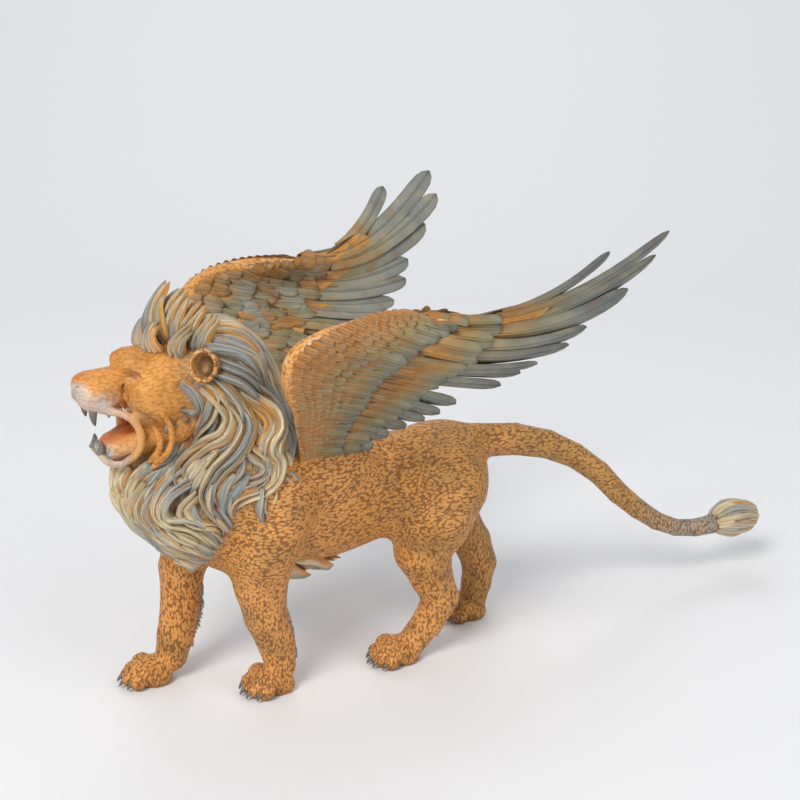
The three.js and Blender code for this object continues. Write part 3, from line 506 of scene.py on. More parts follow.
RANDOM = np.random.default_rng(SEED)
WAVES = RANDOM.normal(size=(24, 3))
PHASES = RANDOM.uniform(0, 2 * math.pi, 24)


def cloud(points, size, part=0):
    """A soft random value from 0 to 1, that changes over about `size` millimetres."""
    chosen = WAVES[part * 6 : part * 6 + 6]
    waves = np.sin(points @ chosen.T * (2 * math.pi / size / 1.7) + PHASES[part * 6 : part * 6 + 6])
    return 0.5 + 0.5 * np.clip(waves.sum(-1) / 3, -1, 1)


FUR, MANE_HAIR, FEATHER, HORNY = range(4)  # the four materials


class Casting:
    """Everything that is joined into the one mesh: points, faces and what the shaders read."""

    def __init__(self):
        self.points, self.faces, self.uvs, self.colours, self.looks, self.kinds = [], [], [], [], [], []
        self.total = 0

    def add(self, points, faces, kind, colours, uvs=None, looks=None):
        n = len(points)
        self.points.append(points)
        self.faces.append(np.asarray(faces, int) + self.total)
        self.colours.append(np.broadcast_to(colours, (n, 3)))
        self.uvs.append(np.zeros((n, 2)) if uvs is None else uvs)
        self.looks.append(np.zeros((n, 3)) if looks is None else looks)
        self.kinds.append(np.full(len(faces), kind))
        self.total += n


def loft_faces(rows, corners):
    """Triangles of a tube of sections, closed at both ends."""
    i, j = np.meshgrid(np.arange(rows - 1), np.arange(corners), indexing="ij")
    a = (i * corners + j).ravel()
    b = (i * corners + (j + 1) % corners).ravel()
    sides = np.vstack([np.stack([a, b, b + corners], 1), np.stack([a, b + corners, a + corners], 1)])
    k = np.arange(1, corners - 1)
    zero = np.zeros_like(k)
    last = (rows - 1) * corners
    ends = np.vstack([np.stack([zero, k + 1, k], 1), np.stack([zero, k, k + 1], 1) + last])
    return np.vstack([sides, ends])


def facing_out(points, faces):
    a, b, c = (points[faces[:, i]] for i in range(3))
    return faces if np.einsum("ij,ij->", a - points.mean(0), np.cross(b, c) - 0 * a) >= 0 else faces[:, ::-1]


def closed(points, faces):
    """The faces of a closed solid, turned outwards."""
    p = points - points.mean(0)
    a, b, c = (p[faces[:, i]] for i in range(3))
    return faces if np.einsum("ij,ij->", a, np.cross(b, c)) > 0 else faces[:, ::-1]


# A strand's section: how far across, how high, and how much it shows its light crest
STRAND = np.array([
    (-0.50, -0.60, 0.1), (-0.49, 0.10, 0.35), (-0.44, 0.62, 0.8), (-0.33, 0.96, 1.0), (-0.20, 0.98, 1.0),
    (-0.08, 0.76, 0.75), (0.05, 0.60, 0.45), (0.19, 0.47, 0.25), (0.33, 0.40, 0.15), (0.44, 0.22, 0.1),
    (0.50, -0.60, 0.0),
])
PLAIN_STRAND = np.array([
    (-0.5, -0.6, 0.1), (-0.42, 0.35, 0.5), (-0.18, 0.92, 1.0), (0.12, 0.78, 0.8), (0.4, 0.3, 0.3), (0.5, -0.6, 0),
])


def strand(casting, places, width, height, normal, section=STRAND, crest=1, tint=0.5, steps=None, tip=0.995):
    """A strand of hair: swept along a curve, swelling from its root and ending in a point."""
    length = np.linalg.norm(np.diff(places, axis=0), axis=1).sum()
    steps = steps or max(5, int(length / 4.2))
    p = smooth_curve(places, steps + 1)
    t = np.linspace(0, 1, steps + 1)
    along = unit(np.gradient(p, axis=0))
    n = normal(p)
    across = unit(np.cross(along, n))
    up = np.cross(across, along)
    swell = (0.62 + 0.38 * np.sin(math.pi * np.minimum(1, 1.5 * t))) * np.sqrt(1 - tip * t**4)
    lift = 1 + 0.25 * np.sin(2 * math.pi * (1.2 * t + tint))
    side = section[:, 0] * crest
    points = (
        p[:, None]
        + across[:, None] * (side[None, :, None] * (width * swell)[:, None, None])
        + up[:, None] * (section[None, :, 1, None] * (height * swell * lift)[:, None, None])
    ).reshape(-1, 3)
    corners = len(section)
    faces = closed(points, loft_faces(steps + 1, corners))
    light = np.broadcast_to(section[None, :, 2], (steps + 1, corners)).ravel()
    run = np.repeat(t, corners)
    warm = cloud(points, 60, 1)
    crest_colour = mix(paint(CREAM), paint(BLUE_GREY), smooth_step(0.35, 0.9, 0.5 * tint + 0.6 * cloud(points, 34)))
    hollow = mix(paint(ORANGE), paint((206, 152, 66)), warm)
    colour = mix(hollow, crest_colour, smooth_step(0.1, 0.9, light + 0.35 * (tint - 0.5) + 0.1 * run))
    uv = np.stack([np.tile((section[:, 0] + 0.5) * width, steps + 1), run * length + 37 * tint], axis=1)
    looks = np.stack([light, run, np.full(len(points), tint)], axis=1)
    casting.add(points, faces, MANE_HAIR, colour, uv, looks)
    return points


def bundle(casting, places, width, height, normal, laid_down=None, strands=3, crest=1):
    """A lock made of a few strands that run side by side and part at the tip."""
    p = smooth_curve(places, 14)
    along = unit(np.gradient(p, axis=0))
    across = unit(np.cross(along, normal(p)))
    t = np.linspace(0, 1, len(p))[:, None]
    for i in range(strands):
        k = (i - (strands - 1) / 2) / max(1, (strands - 1) / 2) if strands > 1 else 0.0
        tint = float(RANDOM.uniform())
        wander = 0.1 * np.sin(2 * math.pi * (t * RANDOM.uniform(0.6, 1.4) + tint))
        offset = crest * width * (0.34 * k * (1 - 0.35 * t) + 0.12 * k * t**3 + wander * 0.6)
        end = 14 - int(abs(k) * RANDOM.integers(1, 3)) if i else 14
        q = (p + across * offset)[:end]
        if laid_down:
            q = laid_down(q)
        h = height * (1.0 if k < 0 else 0.82 if k == 0 else 0.62)
        strand(casting, q, width * (0.62 if strands > 2 else 0.72), h, normal, crest=crest, tint=tint)


def mirrored_places(places, side):
    return np.array(places, float) * (1, side, 1)


def mane_locks(casting):
    for side in (-1, 1):
        for number, (width, height, *path) in enumerate(LOCKS):
            places = laid(np.array(path, float) * (1, -side, 1))
            strands = 3 if width >= 11 else 2
            bundle(casting, places, width * 1.12, height, mane_normal, laid, strands, crest=side * (1 if number % 3 else -1))


def mane_flow():
    """Places and directions of the main locks, that the lesser hair follows."""
    places, ways = [], []
    for width, height, *path in LOCKS:
        p = smooth_curve(laid(np.array(path, float)), 16)
        places.append(p)
        ways.append(unit(np.gradient(p, axis=0)))
    return np.vstack(places), np.vstack(ways)


def under_hair(casting, count=150):
    """Low strands between the main locks, that follow the same flow."""
    places, ways = mane_flow()
    tried = RANDOM.uniform((-152, -58, 100), (-22, -2, 282), size=(2600, 3))
    tried = laid(tried)
    face = (tried[:, 0] < -112) & (tried[:, 2] > 196) | (tried[:, 0] < -98) & (tried[:, 2] > 226)
    gap = np.array([np.min(np.linalg.norm(places - q, axis=1)) for q in tried])
    tried = tried[~face & (gap < 26) & (np.abs(mane_distance(tried)) < 0.5) & (tried[:, 1] < -1)]
    chosen = []
    for q in tried:
        if len(chosen) < count and all(np.linalg.norm(q - c) > 8.5 for c in chosen):
            chosen.append(q)
    for start in chosen:
        p, path = start.copy(), [start]
        for _ in range(int(RANDOM.integers(6, 11))):
            weight = np.exp(-np.sum((places - p) ** 2, axis=1) / (2 * 12.0**2)) + 1e-9
            way = unit((ways * weight[:, None]).sum(0))
            p = laid((p + way * 5)[None])[0]
            path.append(p)
        path = np.array(path)
        width, height, tint = RANDOM.uniform(6, 9.5), RANDOM.uniform(2.4, 4.2), RANDOM.uniform()
        for side in (1, -1):
            strand(
                casting, path * (1, side, 1), width, height, mane_normal, PLAIN_STRAND,
                crest=side, tint=(tint + 0.3 * (side < 0)) % 1, steps=8,
            )


def free_tufts(casting):
    for width, height, face, *path in TUFTS:
        toward = unit(np.array(face, float))
        crest = 1 if path[0][1] <= 0 else -1
        bundle(casting, path, width, height, lambda p: np.broadcast_to(toward, p.shape), None, 3, crest)


def tail_locks(casting, count=11):
    for ring, (start, reach, full) in enumerate([(0.0, 1.0, 1.0), (0.5, 0.8, 0.86)]):
        for i in range(count):
            angle = (i + 0.5 * ring) / count * 2 * math.pi
            out = np.array((0, math.cos(angle), math.sin(angle)))
            run = [(374, 6), (384, 11), (396, 13.8 * full), (408, 13.2 * full), (417, 9 * full), (423 - 3 * ring, 3)]
            places = [np.array((x + 2 * start, 0, 46)) + out * r for x, r in run]
            places = [p + np.cross(out, (1, 0, 0)) * 2.2 * math.sin(j) for j, p in enumerate(places)]
            strand(
                casting, places, 8.5, 3.4, lambda p: unit((p - (0, 0, 46)) * (0, 1, 1)), PLAIN_STRAND,
                crest=1 if i % 2 else -1, tint=float(RANDOM.uniform()), steps=9,
            )


def leg_fringes(casting):
    """Short tufts in a row down the back of each leg."""
    for y, top, foot, reach, teeth in FRINGES.values():
        for i in range(teeth):
            t = (i + 0.3) / teeth
            full = 0.45 + 0.55 * math.sin(math.pi * min(1, t * 1.05))
            base = np.array((top[0] + t * (foot[0] - top[0]) - 3, y, top[1] + t * (foot[1] - top[1]) + 3))
            sway = float(RANDOM.uniform(-2.5, 2.5))
            places = [base, base + (3.5, sway * 0.4, -2), base + (3 + reach * full, sway, -8)]
            strand(
                casting, places, 5, 2.6, lambda p: np.broadcast_to((0.0, -1.0, 0.2), p.shape), PLAIN_STRAND,
                tint=float(RANDOM.uniform()), steps=5,
            )


def cone(casting, base, tip, radius, colour, kind=HORNY, bend=(0, 0, 0), sides=8, blunt=0.16, flat=1.0):
    """A tooth or claw: a tapering round horn, a little bent."""
    base, tip = np.array(base, float), np.array(tip, float)
    t = np.array([0, 0.25, 0.5, 0.75, 0.92, 1.0])
    size = np.array([1, 0.97, 0.82, 0.58, 0.34, blunt])
    axis = unit(tip - base)
    a = unit(np.cross(axis, (0.3, 1, 0.2)))
    b = np.cross(axis, a)
    middle = base + (tip - base) * t[:, None] + np.array(bend) * (4 * t * (1 - t))[:, None]
    turn = np.linspace(0, 2 * math.pi, sides, endpoint=False)
    ring = a[None] * np.cos(turn)[:, None] + b[None] * np.sin(turn)[:, None] * flat
    points = (middle[:, None] + ring[None] * (radius * size)[:, None, None]).reshape(-1, 3)
    faces = closed(points, loft_faces(len(t), sides))
    light = np.repeat(1 - 0.55 * t, sides)
    casting.add(points, faces, kind, mix(paint(DARK), paint(colour), light))


def teeth_and_claws(casting):
    for side in (1, -1):
        flip = np.array((1, -side, 1))
        cone(casting, (-165, 11, 231) * flip, (-165.3, 12, 217.5) * flip, 3.1, HORN, bend=(-1, 0, 0))
        cone(casting, (-163, 8.6, 196) * flip, (-161, 9, 205.5) * flip, 2.6, HORN, bend=(1, 0, 0))
        for i in range(3):
            y = 2.2 + 2.6 * i
            cone(casting, np.array((-170.5 + 0.5 * i, y, 233)) * flip, np.array((-170.8 + 0.5 * i, y, 227.5)) * flip, 1.5, PALE)
            cone(casting, np.array((-162 + 0.7 * i, y, 197)) * flip, np.array((-161.5 + 0.7 * i, y, 202.5)) * flip, 1.4, PALE)
        for i in range(3):
            x = -156 + 6.5 * i
            cone(casting, np.array((x, 13 + 1.8 * i, 228)) * flip, np.array((x, 13 + 1.8 * i, 222)) * flip, 2.1, PALE)
            cone(casting, np.array((x, 10.5 + 2 * i, 195)) * flip, np.array((x, 11 + 2 * i, 200.5)) * flip, 2.0, PALE)
    for centre, turn in PAWS.values():
        for base, tip, radius in paw_claws(centre, turn):
            cone(casting, base, tip, radius, HORN, bend=(0, 0, 1.2))


# Wings. `s` counts feathers from the body outwards and `t` runs from the front edge to the tips.

LAST = len(FEATHERS) - 1
ARM_END = 7  # the feather where the hand begins


def through(places, s):
    """Points on the curve through some places, at place numbers s."""
    s = np.asarray(s, float)
    p = np.vstack([2 * places[0] - places[1], places, 2 * places[-1] - places[-2]])
    i = np.clip(np.floor(s).astype(int), 0, len(places) - 2)
    t = (s - i)[..., None]
    p0, p1, p2, p3 = (p[i + k] for k in range(4))
    d0, d1, d2 = (np.linalg.norm(b - a, axis=-1, keepdims=True) ** 0.5 for a, b in ((p0, p1), (p1, p2), (p2, p3)))
    m1 = ((p1 - p0) / d0 - (p2 - p0) / (d0 + d1) + (p2 - p1) / d1) * d1
    m2 = ((p2 - p1) / d1 - (p3 - p1) / (d1 + d2) + (p3 - p2) / d2) * d1
    return p1 + m1 * t + (3 * (p2 - p1) - 2 * m1 - m2) * t**2 + (2 * (p1 - p2) + m1 + m2) * t**3


def wing_point(s, t):
    root, middle, tip = (through(FEATHERS[:, k], s) for k in range(3))
    t = np.asarray(t, float)[..., None]
    return root * (1 - t) * (1 - 2 * t) + middle * 4 * t * (1 - t) + tip * t * (2 * t - 1)


def wing_frame(s, t):
    """Directions on the wing: along the feather, across it, and out of the wing's upper face."""
    s, t = np.broadcast_arrays(np.asarray(s, float), np.asarray(t, float))
    along = unit(wing_point(s, t + 0.01) - wing_point(s, t - 0.01))
    outward = unit(wing_point(s + 0.15, t) - wing_point(s - 0.15, t))
    up = unit(np.cross(outward, along))
    return along, np.cross(up, along), up


def edge_radius(s):
    swell = np.minimum(1, 0.55 + np.maximum(0, s - 3.2) / 3) * (1 - 0.11 * np.maximum(0, s - 10))
    return 6.2 * swell


def skin(s, t):
    """Half the thickness of the wing under its feathers."""
    return 1.1 + (edge_radius(s) - 1.1) * (1 - smooth_step(-0.02, 0.3, t))


def wing_core(casting, side):
    spans = np.arange(0, LAST + 0.01, 0.25)
    shares = np.array([0.02, 0.06, 0.12, 0.2, 0.3, 0.45, 0.62])
    rows = []
    for s in spans:
        reach = 0.8 if s > 9 else 1.0
        t = shares * reach
        along, _, up = wing_frame(s, t)
        middle = wing_point(s, t)
        half = skin(s, t)[:, None]
        nose = np.linspace(150, 30, 5)
        nose_at = wing_point(s, t[0]) - along[0] * (edge_radius(s) * np.sin(np.radians(nose)))[:, None]
        nose_at = nose_at + up[0] * (edge_radius(s) * -np.cos(np.radians(nose)))[:, None]
        rows.append(np.vstack([middle[::-1] - up[::-1] * half[::-1], nose_at[::-1], middle + up * half]))
    corners = len(rows[0])
    points = np.vstack(rows)
    at = np.arange(len(points)) % corners
    near_edge = np.abs(at - (corners - 1) / 2) / ((corners - 1) / 2)
    streak = cloud(points * (1, 1, 1), 9, 2)
    colour = mix(mix(paint(HONEY), paint((236, 196, 158)), smooth_step(0.55, 0.9, streak)), paint(OCHRE), smooth_step(0.2, 0.6, near_edge))
    looks = np.stack([0.8 - 0.5 * near_edge, np.full(len(points), 0.6), np.full(len(points), 0.0)], axis=1)
    points = points * (1, side, 1)
    casting.add(points, closed(points, loft_faces(len(rows), corners)), FUR, colour, looks=looks)


# A feather's sections: how far across, how high, and how near the rim
FLIGHT = np.array([
    (-0.5, 0, 1), (-0.42, 0.5, 0.6), (-0.07, 0.62, 0), (0, 1.25, 0), (0.07, 0.62, 0), (0.42, 0.5, 0.6), (0.5, 0, 1),
    (0.42, -0.5, 0.6), (0.07, -0.62, 0), (0, -1.25, 0), (-0.07, -0.62, 0), (-0.42, -0.5, 0.6),
])
COVERT = np.array([
    (-0.5, -0.1, 1), (-0.4, 0.55, 0.5), (-0.06, 0.75, 0), (0, 1.2, 0), (0.06, 0.75, 0), (0.4, 0.55, 0.5), (0.5, -0.1, 1),
    (0.2, -0.8, 1), (-0.2, -0.8, 1),
])
SCALE = np.array([(-0.5, -0.1, 1), (-0.34, 0.6, 0.45), (0, 0.95, 0), (0.34, 0.6, 0.45), (0.5, -0.1, 1), (0, -0.8, 1)])


def feather(casting, side, s, start, end, width, half, section, face=0, roll=0.0, lift=(0.0, 0.0), point=0.78, steps=7, colours=None, tint=0.5, sweep=0.0):
    """A feather along the wing, with a rounded end. `face` is the side of the wing that it lies on."""
    share = np.concatenate([np.linspace(0, point, steps - 3), point + (1 - point) * np.array([0.5, 0.82, 1.0])])
    tip = np.clip((share - point) / (1 - point), 0, 1)
    spread = (0.86 + 0.14 * np.minimum(1, share * 3)) * np.sqrt(1 - 0.985 * tip**2.2)
    t = start + (end - start) * share
    lean = s + sweep * share
    _, across, up = wing_frame(lean, t)
    sign = face or 1
    height = 0 if face == 0 else skin(lean, t)
    middle = wing_point(lean, t) + up * (sign * (height + lift[0] + (lift[1] - lift[0]) * share))[:, None]
    c, n = math.cos(roll), math.sin(roll)
    across, up = across * c + up * n, up * c - across * n
    camber = -0.5 * width * 0.16 * (section[:, 0] * 2) ** 2 * sign * (0 if face == 0 else 1)
    points = middle[:, None] + across[:, None] * (section[None, :, 0] * (width * spread)[:, None])[..., None]
    rise = section[None, :, 1] * half * (0.35 + 0.65 * spread[:, None]) * sign + camber[None] * spread[:, None]
    points = (points + up[:, None] * rise[..., None]).reshape(-1, 3)
    corners = len(section)
    length = np.linalg.norm(np.diff(middle, axis=0), axis=1).sum()
    rim = np.maximum(section[None, :, 2], (smooth_step(0.55, 1.0, tip) ** 1.0)[:, None]).ravel()
    uv = np.stack([np.tile(section[:, 0] * width, len(t)), np.repeat(share * length + 53 * tint, corners)], axis=1)
    looks = np.stack([rim, np.repeat(share, corners), np.full(len(points), tint)], axis=1)
    upper = np.tile(section[:, 1] >= 0, len(t)) if face == 0 else np.full(len(points), face > 0)
    colour = colours(points, np.repeat(t, corners), np.repeat(lean, corners), np.repeat(share, corners), upper, tint)
    colour = mix(colour, paint(DARK), 0.55 * rim**3)
    points = points * (1, side, 1)
    casting.add(points, closed(points, loft_faces(len(t), corners)), FEATHER, colour, uv, looks)


def flight_colours(points, t, s, share, upper, tint):
    hand = smooth_step(5.5, 9, s)
    above = ramp(t + 0.12 * hand + 0.16 * (cloud(points, 22) - 0.5), [
        (0.3, (196, 132, 62)), (0.5, (188, 142, 82)), (0.66, (158, 150, 120)), (0.85, (146, 156, 152)), (1.0, (120, 130, 134)),
    ])
    below = ramp(t + 0.22 * hand + 0.3 * (cloud(points, 20, 1) - 0.5) + 0.14 * (tint - 0.5), [
        (0.3, (200, 142, 76)), (0.55, (192, 150, 92)), (0.72, (176, 166, 132)), (0.88, (172, 174, 160)), (1.1, (150, 158, 156)),
    ])
    return np.where(upper[:, None], above, below)


def scale_colours(points, t, s, share, upper, tint):
    place = t / np.interp(s, ROW_AT, ROW_A) + 0.35 * (cloud(points, 36) - 0.5)
    base = ramp(place, [(0.0, (226, 146, 66)), (0.35, (214, 150, 76)), (0.6, (186, 158, 104)), (0.85, (160, 154, 126)), (1.1, (150, 152, 132))])
    return mix(base, paint(CREAM), 0.25 * smooth_step(0.4, 0.9, share) + 0.15 * (tint - 0.5))


def covert_colours(points, t, s, share, upper, tint):
    return ramp(share + 0.2 * (cloud(points, 24) - 0.5), [
        (0.0, (204, 134, 58)), (0.45, (198, 140, 66)), (0.68, (166, 150, 108)), (0.9, (146, 150, 132)), (1.0, (132, 140, 130)),
    ])


def lining_colours(points, t, s, share, upper, tint):
    warm = smooth_step(0.35, 0.7, 0.6 * cloud(points, 40, 2) + 0.5 * tint)
    base = mix(paint((160, 150, 112)), paint((204, 140, 72)), warm)
    base = mix(base, paint((178, 180, 164)), smooth_step(0.62, 0.95, cloud(points, 26, 3)))
    return mix(base, paint(HONEY), 0.6 * (1 - smooth_step(0.08, 0.2, t)))


ROW_AT = [1, 5, 7, 10, 12.5, 14]
ROW_A = [0.56, 0.53, 0.47, 0.32, 0.2, 0.14]
ROW_B = [0.84, 0.82, 0.74, 0.57, 0.39, 0.28]
LINING = [0.66, 0.66, 0.62, 0.47, 0.31, 0.2]


def along_row(share, edge, spacing, first=0.8, last=14.0):
    """Feather numbers at equal distances along a row that ends at a share of an edge line."""
    s = np.linspace(first, last, 300)
    p = wing_point(s, share * np.interp(s, ROW_AT, edge))
    run = np.concatenate([[0], np.cumsum(np.linalg.norm(np.diff(p, axis=0), axis=1))])
    return np.interp(np.arange(spacing / 2, run[-1], spacing), run, s)


def chord(s):
    return float(np.linalg.norm(wing_point(s, 1.0) - wing_point(s, 0.0)))


def wing(casting, side):
    wing_core(casting, side)
    for s in range(1, LAST + 1):
        hand = s >= ARM_END
        width = 12.5 if s == LAST else 16.5 if hand else 17.5
        feather(
            casting, side, s, 0.25 if hand else 0.35, 1.0, width, 1.4, FLIGHT, roll=-0.13, point=0.86 if hand else 0.8,
            steps=15, colours=flight_colours, tint=float(RANDOM.uniform()),
        )
    for edge, spacing, length in ((ROW_B, 9.5, 44), (ROW_A, 8.5, 40)):
        for s in along_row(1.0, edge, spacing, last=14.4):
            end = float(np.interp(s, ROW_AT, edge)) + RANDOM.uniform(-0.008, 0.008)
            feather(
                casting, side, s, max(0.05, end - length / chord(s)), end, spacing * 1.55, 1.3, COVERT, face=1, roll=-0.06,
                lift=(-1.2, 1.5), steps=8, colours=covert_colours, tint=float(RANDOM.uniform()),
            )
    rows = 7
    for row in range(rows):
        share = 0.86 - 0.8 * row / (rows - 1)
        spacing = 8.2 - 2.4 * row / (rows - 1)
        for i, s in enumerate(along_row(share, ROW_A, spacing, last=12.5)):
            s = s + (0.5 * (row % 2)) * spacing / 16
            end = share * float(np.interp(s, ROW_AT, ROW_A)) + RANDOM.uniform(-0.006, 0.006) + 0.03
            feather(
                casting, side, s, max(0.0, end - 1.9 * spacing / chord(s)), end, spacing * 1.35, 1.2, SCALE, face=1,
                lift=(-1.0, 0.9), point=0.5, steps=6, colours=scale_colours, tint=float(RANDOM.uniform()),
            )
    rows = 7
    for row in range(rows):
        share = 1.0 - 0.84 * row / (rows - 1)
        for s in along_row(share, LINING, 10.5 - 0.4 * row, last=13.8):
            s = s + RANDOM.uniform(-0.25, 0.25)
            end = share * float(np.interp(s, ROW_AT, LINING)) + RANDOM.uniform(-0.03, 0.03)
            length = RANDOM.uniform(20, 28) - 1.2 * row
            feather(
                casting, side, s, max(0.03, end - length / chord(s)), end, RANDOM.uniform(10, 14), 1.3, SCALE, face=-1,
                lift=(-0.9, RANDOM.uniform(0.6, 2.0)), point=0.55, steps=6, colours=lining_colours,
                tint=float(RANDOM.uniform()), roll=RANDOM.uniform(-0.15, 0.15), sweep=RANDOM.uniform(-0.2, 0.3),
            )


# The body's surface, with what its shader reads

def decimated(points, faces, target, keep):
    """Fewer faces, with the most left where `keep` is high."""
    mesh = bpy.data.meshes.new("soft")
    mesh.from_pydata(points.tolist(), [], faces.tolist())
    helper = bpy.data.objects.new("soft", mesh)
    bpy.context.scene.collection.objects.link(helper)
    group = helper.vertex_groups.new(name="keep")
    for level in np.unique(np.round(keep, 1)):
        group.add(np.nonzero(np.round(keep, 1) == level)[0].tolist(), float(level), "REPLACE")
    modifier = helper.modifiers.new("fewer", "DECIMATE")
    modifier.ratio = target / len(faces)
    modifier.use_collapse_triangulate = True
    modifier.vertex_group = "keep"
    modifier.vertex_group_factor = 3.0
    result = helper.evaluated_get(bpy.context.evaluated_depsgraph_get()).to_mesh()
    count = len(result.vertices)
    out = np.zeros(count * 3)
    result.vertices.foreach_get("co", out)
    result.calc_loop_triangles()
    tris = np.zeros(len(result.loop_triangles) * 3, int)
    result.loop_triangles.foreach_get("vertices", tris)
    helper.to_mesh_clear()
    bpy.data.objects.remove(helper)
    bpy.data.meshes.remove(mesh)
    return out.reshape(-1, 3), tris.reshape(-1, 3)


def near_line(points, places, radius):
    """How near points are to a line, from 0 to 1."""
    curve = smooth_curve(places, 4 * len(places))
    d = np.min([np.sum((points - c) ** 2, axis=1) for c in curve], axis=0)
    return np.exp(-d / (2 * radius * radius))


def body(casting):
    field = soft_forms()
    points, faces = field.surface()
    head = smooth_step(-88, -104, points[:, 0]) * smooth_step(184, 190, points[:, 2])
    paws = smooth_step(26, 20, points[:, 2])
    points, faces = decimated(points, faces, BODY_FACES, 0.12 + 0.8 * np.maximum(head, 0.8 * paws))
    x, y, z = points.T
    near = points * (1, -1, 1)
    folded = np.where(y[:, None] > 0, near, points)  # the left side, for what is alike on both
    face = smooth_step(-100, -112, x) * smooth_step(186, 196, z)
    hind = smooth_step(20, 110, x)
    leg = smooth_step(112, 84, z)
    base = mix(paint((206, 140, 68)), paint((184, 134, 66)), 0.7 * hind)
    base = mix(base, paint((222, 150, 76)), 0.7 * leg * (1 - hind))
    far_hind = smooth_step(118, 136, x) * smooth_step(104, 84, z) * smooth_step(5, 12, y)
    base = mix(base, paint((158, 124, 66)), 0.75 * far_hind)
    base = mix(base, paint((228, 160, 92)), 0.55 * smooth_step(0.55, 0.9, cloud(points, 55)))
    base = mix(base, paint((160, 122, 70)), 0.5 * smooth_step(0.6, 0.95, cloud(points, 38, 1)))
    tail = smooth_step(150, 175, x)
    base = mix(base, mix(paint((186, 138, 74)), paint((150, 150, 140)), smooth_step(270, 345, x)), tail)
    base = mix(base, paint((176, 116, 56)), smooth_step(366, 384, x))
    fur = np.ones(len(points))

    skin_tone = mix(paint((220, 146, 66)), paint((206, 140, 62)), cloud(points, 30, 2))
    base = mix(base, skin_tone, face)
    fur = np.where(face > 0, fur * (1 - 0.55 * face), fur)
    muzzle = smooth_step(-150, -160, x) * smooth_step(247, 238, z) * face
    lip = near_line(folded, LIP, 4.2)
    grey = np.maximum(muzzle * smooth_step(244, 234, z), 0.9 * lip * smooth_step(-136, -150, x))
    base = mix(base, paint(LIP_GREY), 0.85 * grey)
    jaw_front = smooth_step(-150, -160, x) * smooth_step(206, 200, z)
    base = mix(base, paint((196, 186, 160)), 0.6 * jaw_front)
    round_lip = lip * smooth_step(-150, -141, x)
    base = mix(base, paint((226, 172, 100)), 0.8 * round_lip)
    inside = np.zeros(len(points))
    for at, size, tilt in MOUTH:
        d = ellipsoid(at, np.array(size) + 2.2, tilt)[2](x, y, z)
        inside = np.maximum(inside, smooth_step(1.0, -1.0, d))
    inside *= 1 - smooth_step(0.5, 0.9, lip)
    base = mix(base, mix(paint((206, 104, 44)), paint(TONGUE), cloud(points, 12, 3)), inside)
    fur *= 1 - np.maximum(inside, 0.8 * lip)
    nose = smooth_step(-166, -171, x) * smooth_step(236, 240, z)
    base = mix(base, mix(paint((200, 196, 186)), paint((214, 130, 66)), smooth_step(245, 248, z)), nose)
    # Painted shade in the creases: dark lines along the lip groove, under the eye and in the mouth's fold
    base = mix(base, paint((90, 66, 44)), np.maximum(near_line(folded, LIP_GROOVE, 1.5), 0.7 * near_line(folded, UNDER_EYE, 1.1)))
    base = mix(base, paint((104, 92, 72)), 0.8 * near_line(folded, MOUTH_FOLD, 2.0))
    eye = np.linalg.norm(folded - EYE[0], axis=1)
    base = mix(base, paint((226, 168, 118)), smooth_step(5.4, 4.6, eye))
    lids = np.maximum(near_line(folded, UPPER_LID, 1.2), near_line(folded, LOWER_LID, 1.0))
    base = mix(base, paint((232, 184, 130)), 0.6 * lids)
    for side in (1, -1):
        at, out, up, across = ear_frame(side)
        r = points - (at + out * 1.0)
        disc = np.hypot(r @ up / 8.6, r @ across / 7.6)
        cup = smooth_step(1.02, 0.86, disc) * smooth_step(8.0, 5.0, np.abs(r @ out))
        base = mix(base, paint((64, 50, 42)), cup)
        rim = np.exp(-(((disc - 1.18) / 0.16) ** 2)) * smooth_step(6.0, 3.0, np.abs(r @ out))
        base = mix(base, paint((232, 190, 132)), 0.75 * rim)
        fur *= 1 - cup

    hair = smooth_step(3.0, 0.5, mane_distance(points)) * (1 - face) * smooth_step(-22, -40, x) * smooth_step(96, 110, z)
    base = mix(base, mix(paint((204, 146, 74)), paint((168, 160, 130)), cloud(points, 26)), hair)
    # Painted shade where the paws meet the floor: darker brown within 9 mm of it
    shade_near_floor = smooth_step(9, 3, z)
    base = mix(base, paint((128, 92, 52)), 0.55 * shade_near_floor)
    looks = np.stack([fur * (1 - 0.7 * hair), np.maximum(leg, 0), hair], axis=1)
    casting.add(points, faces, FUR, base, np.stack([x, z], axis=1), looks)


# Materials

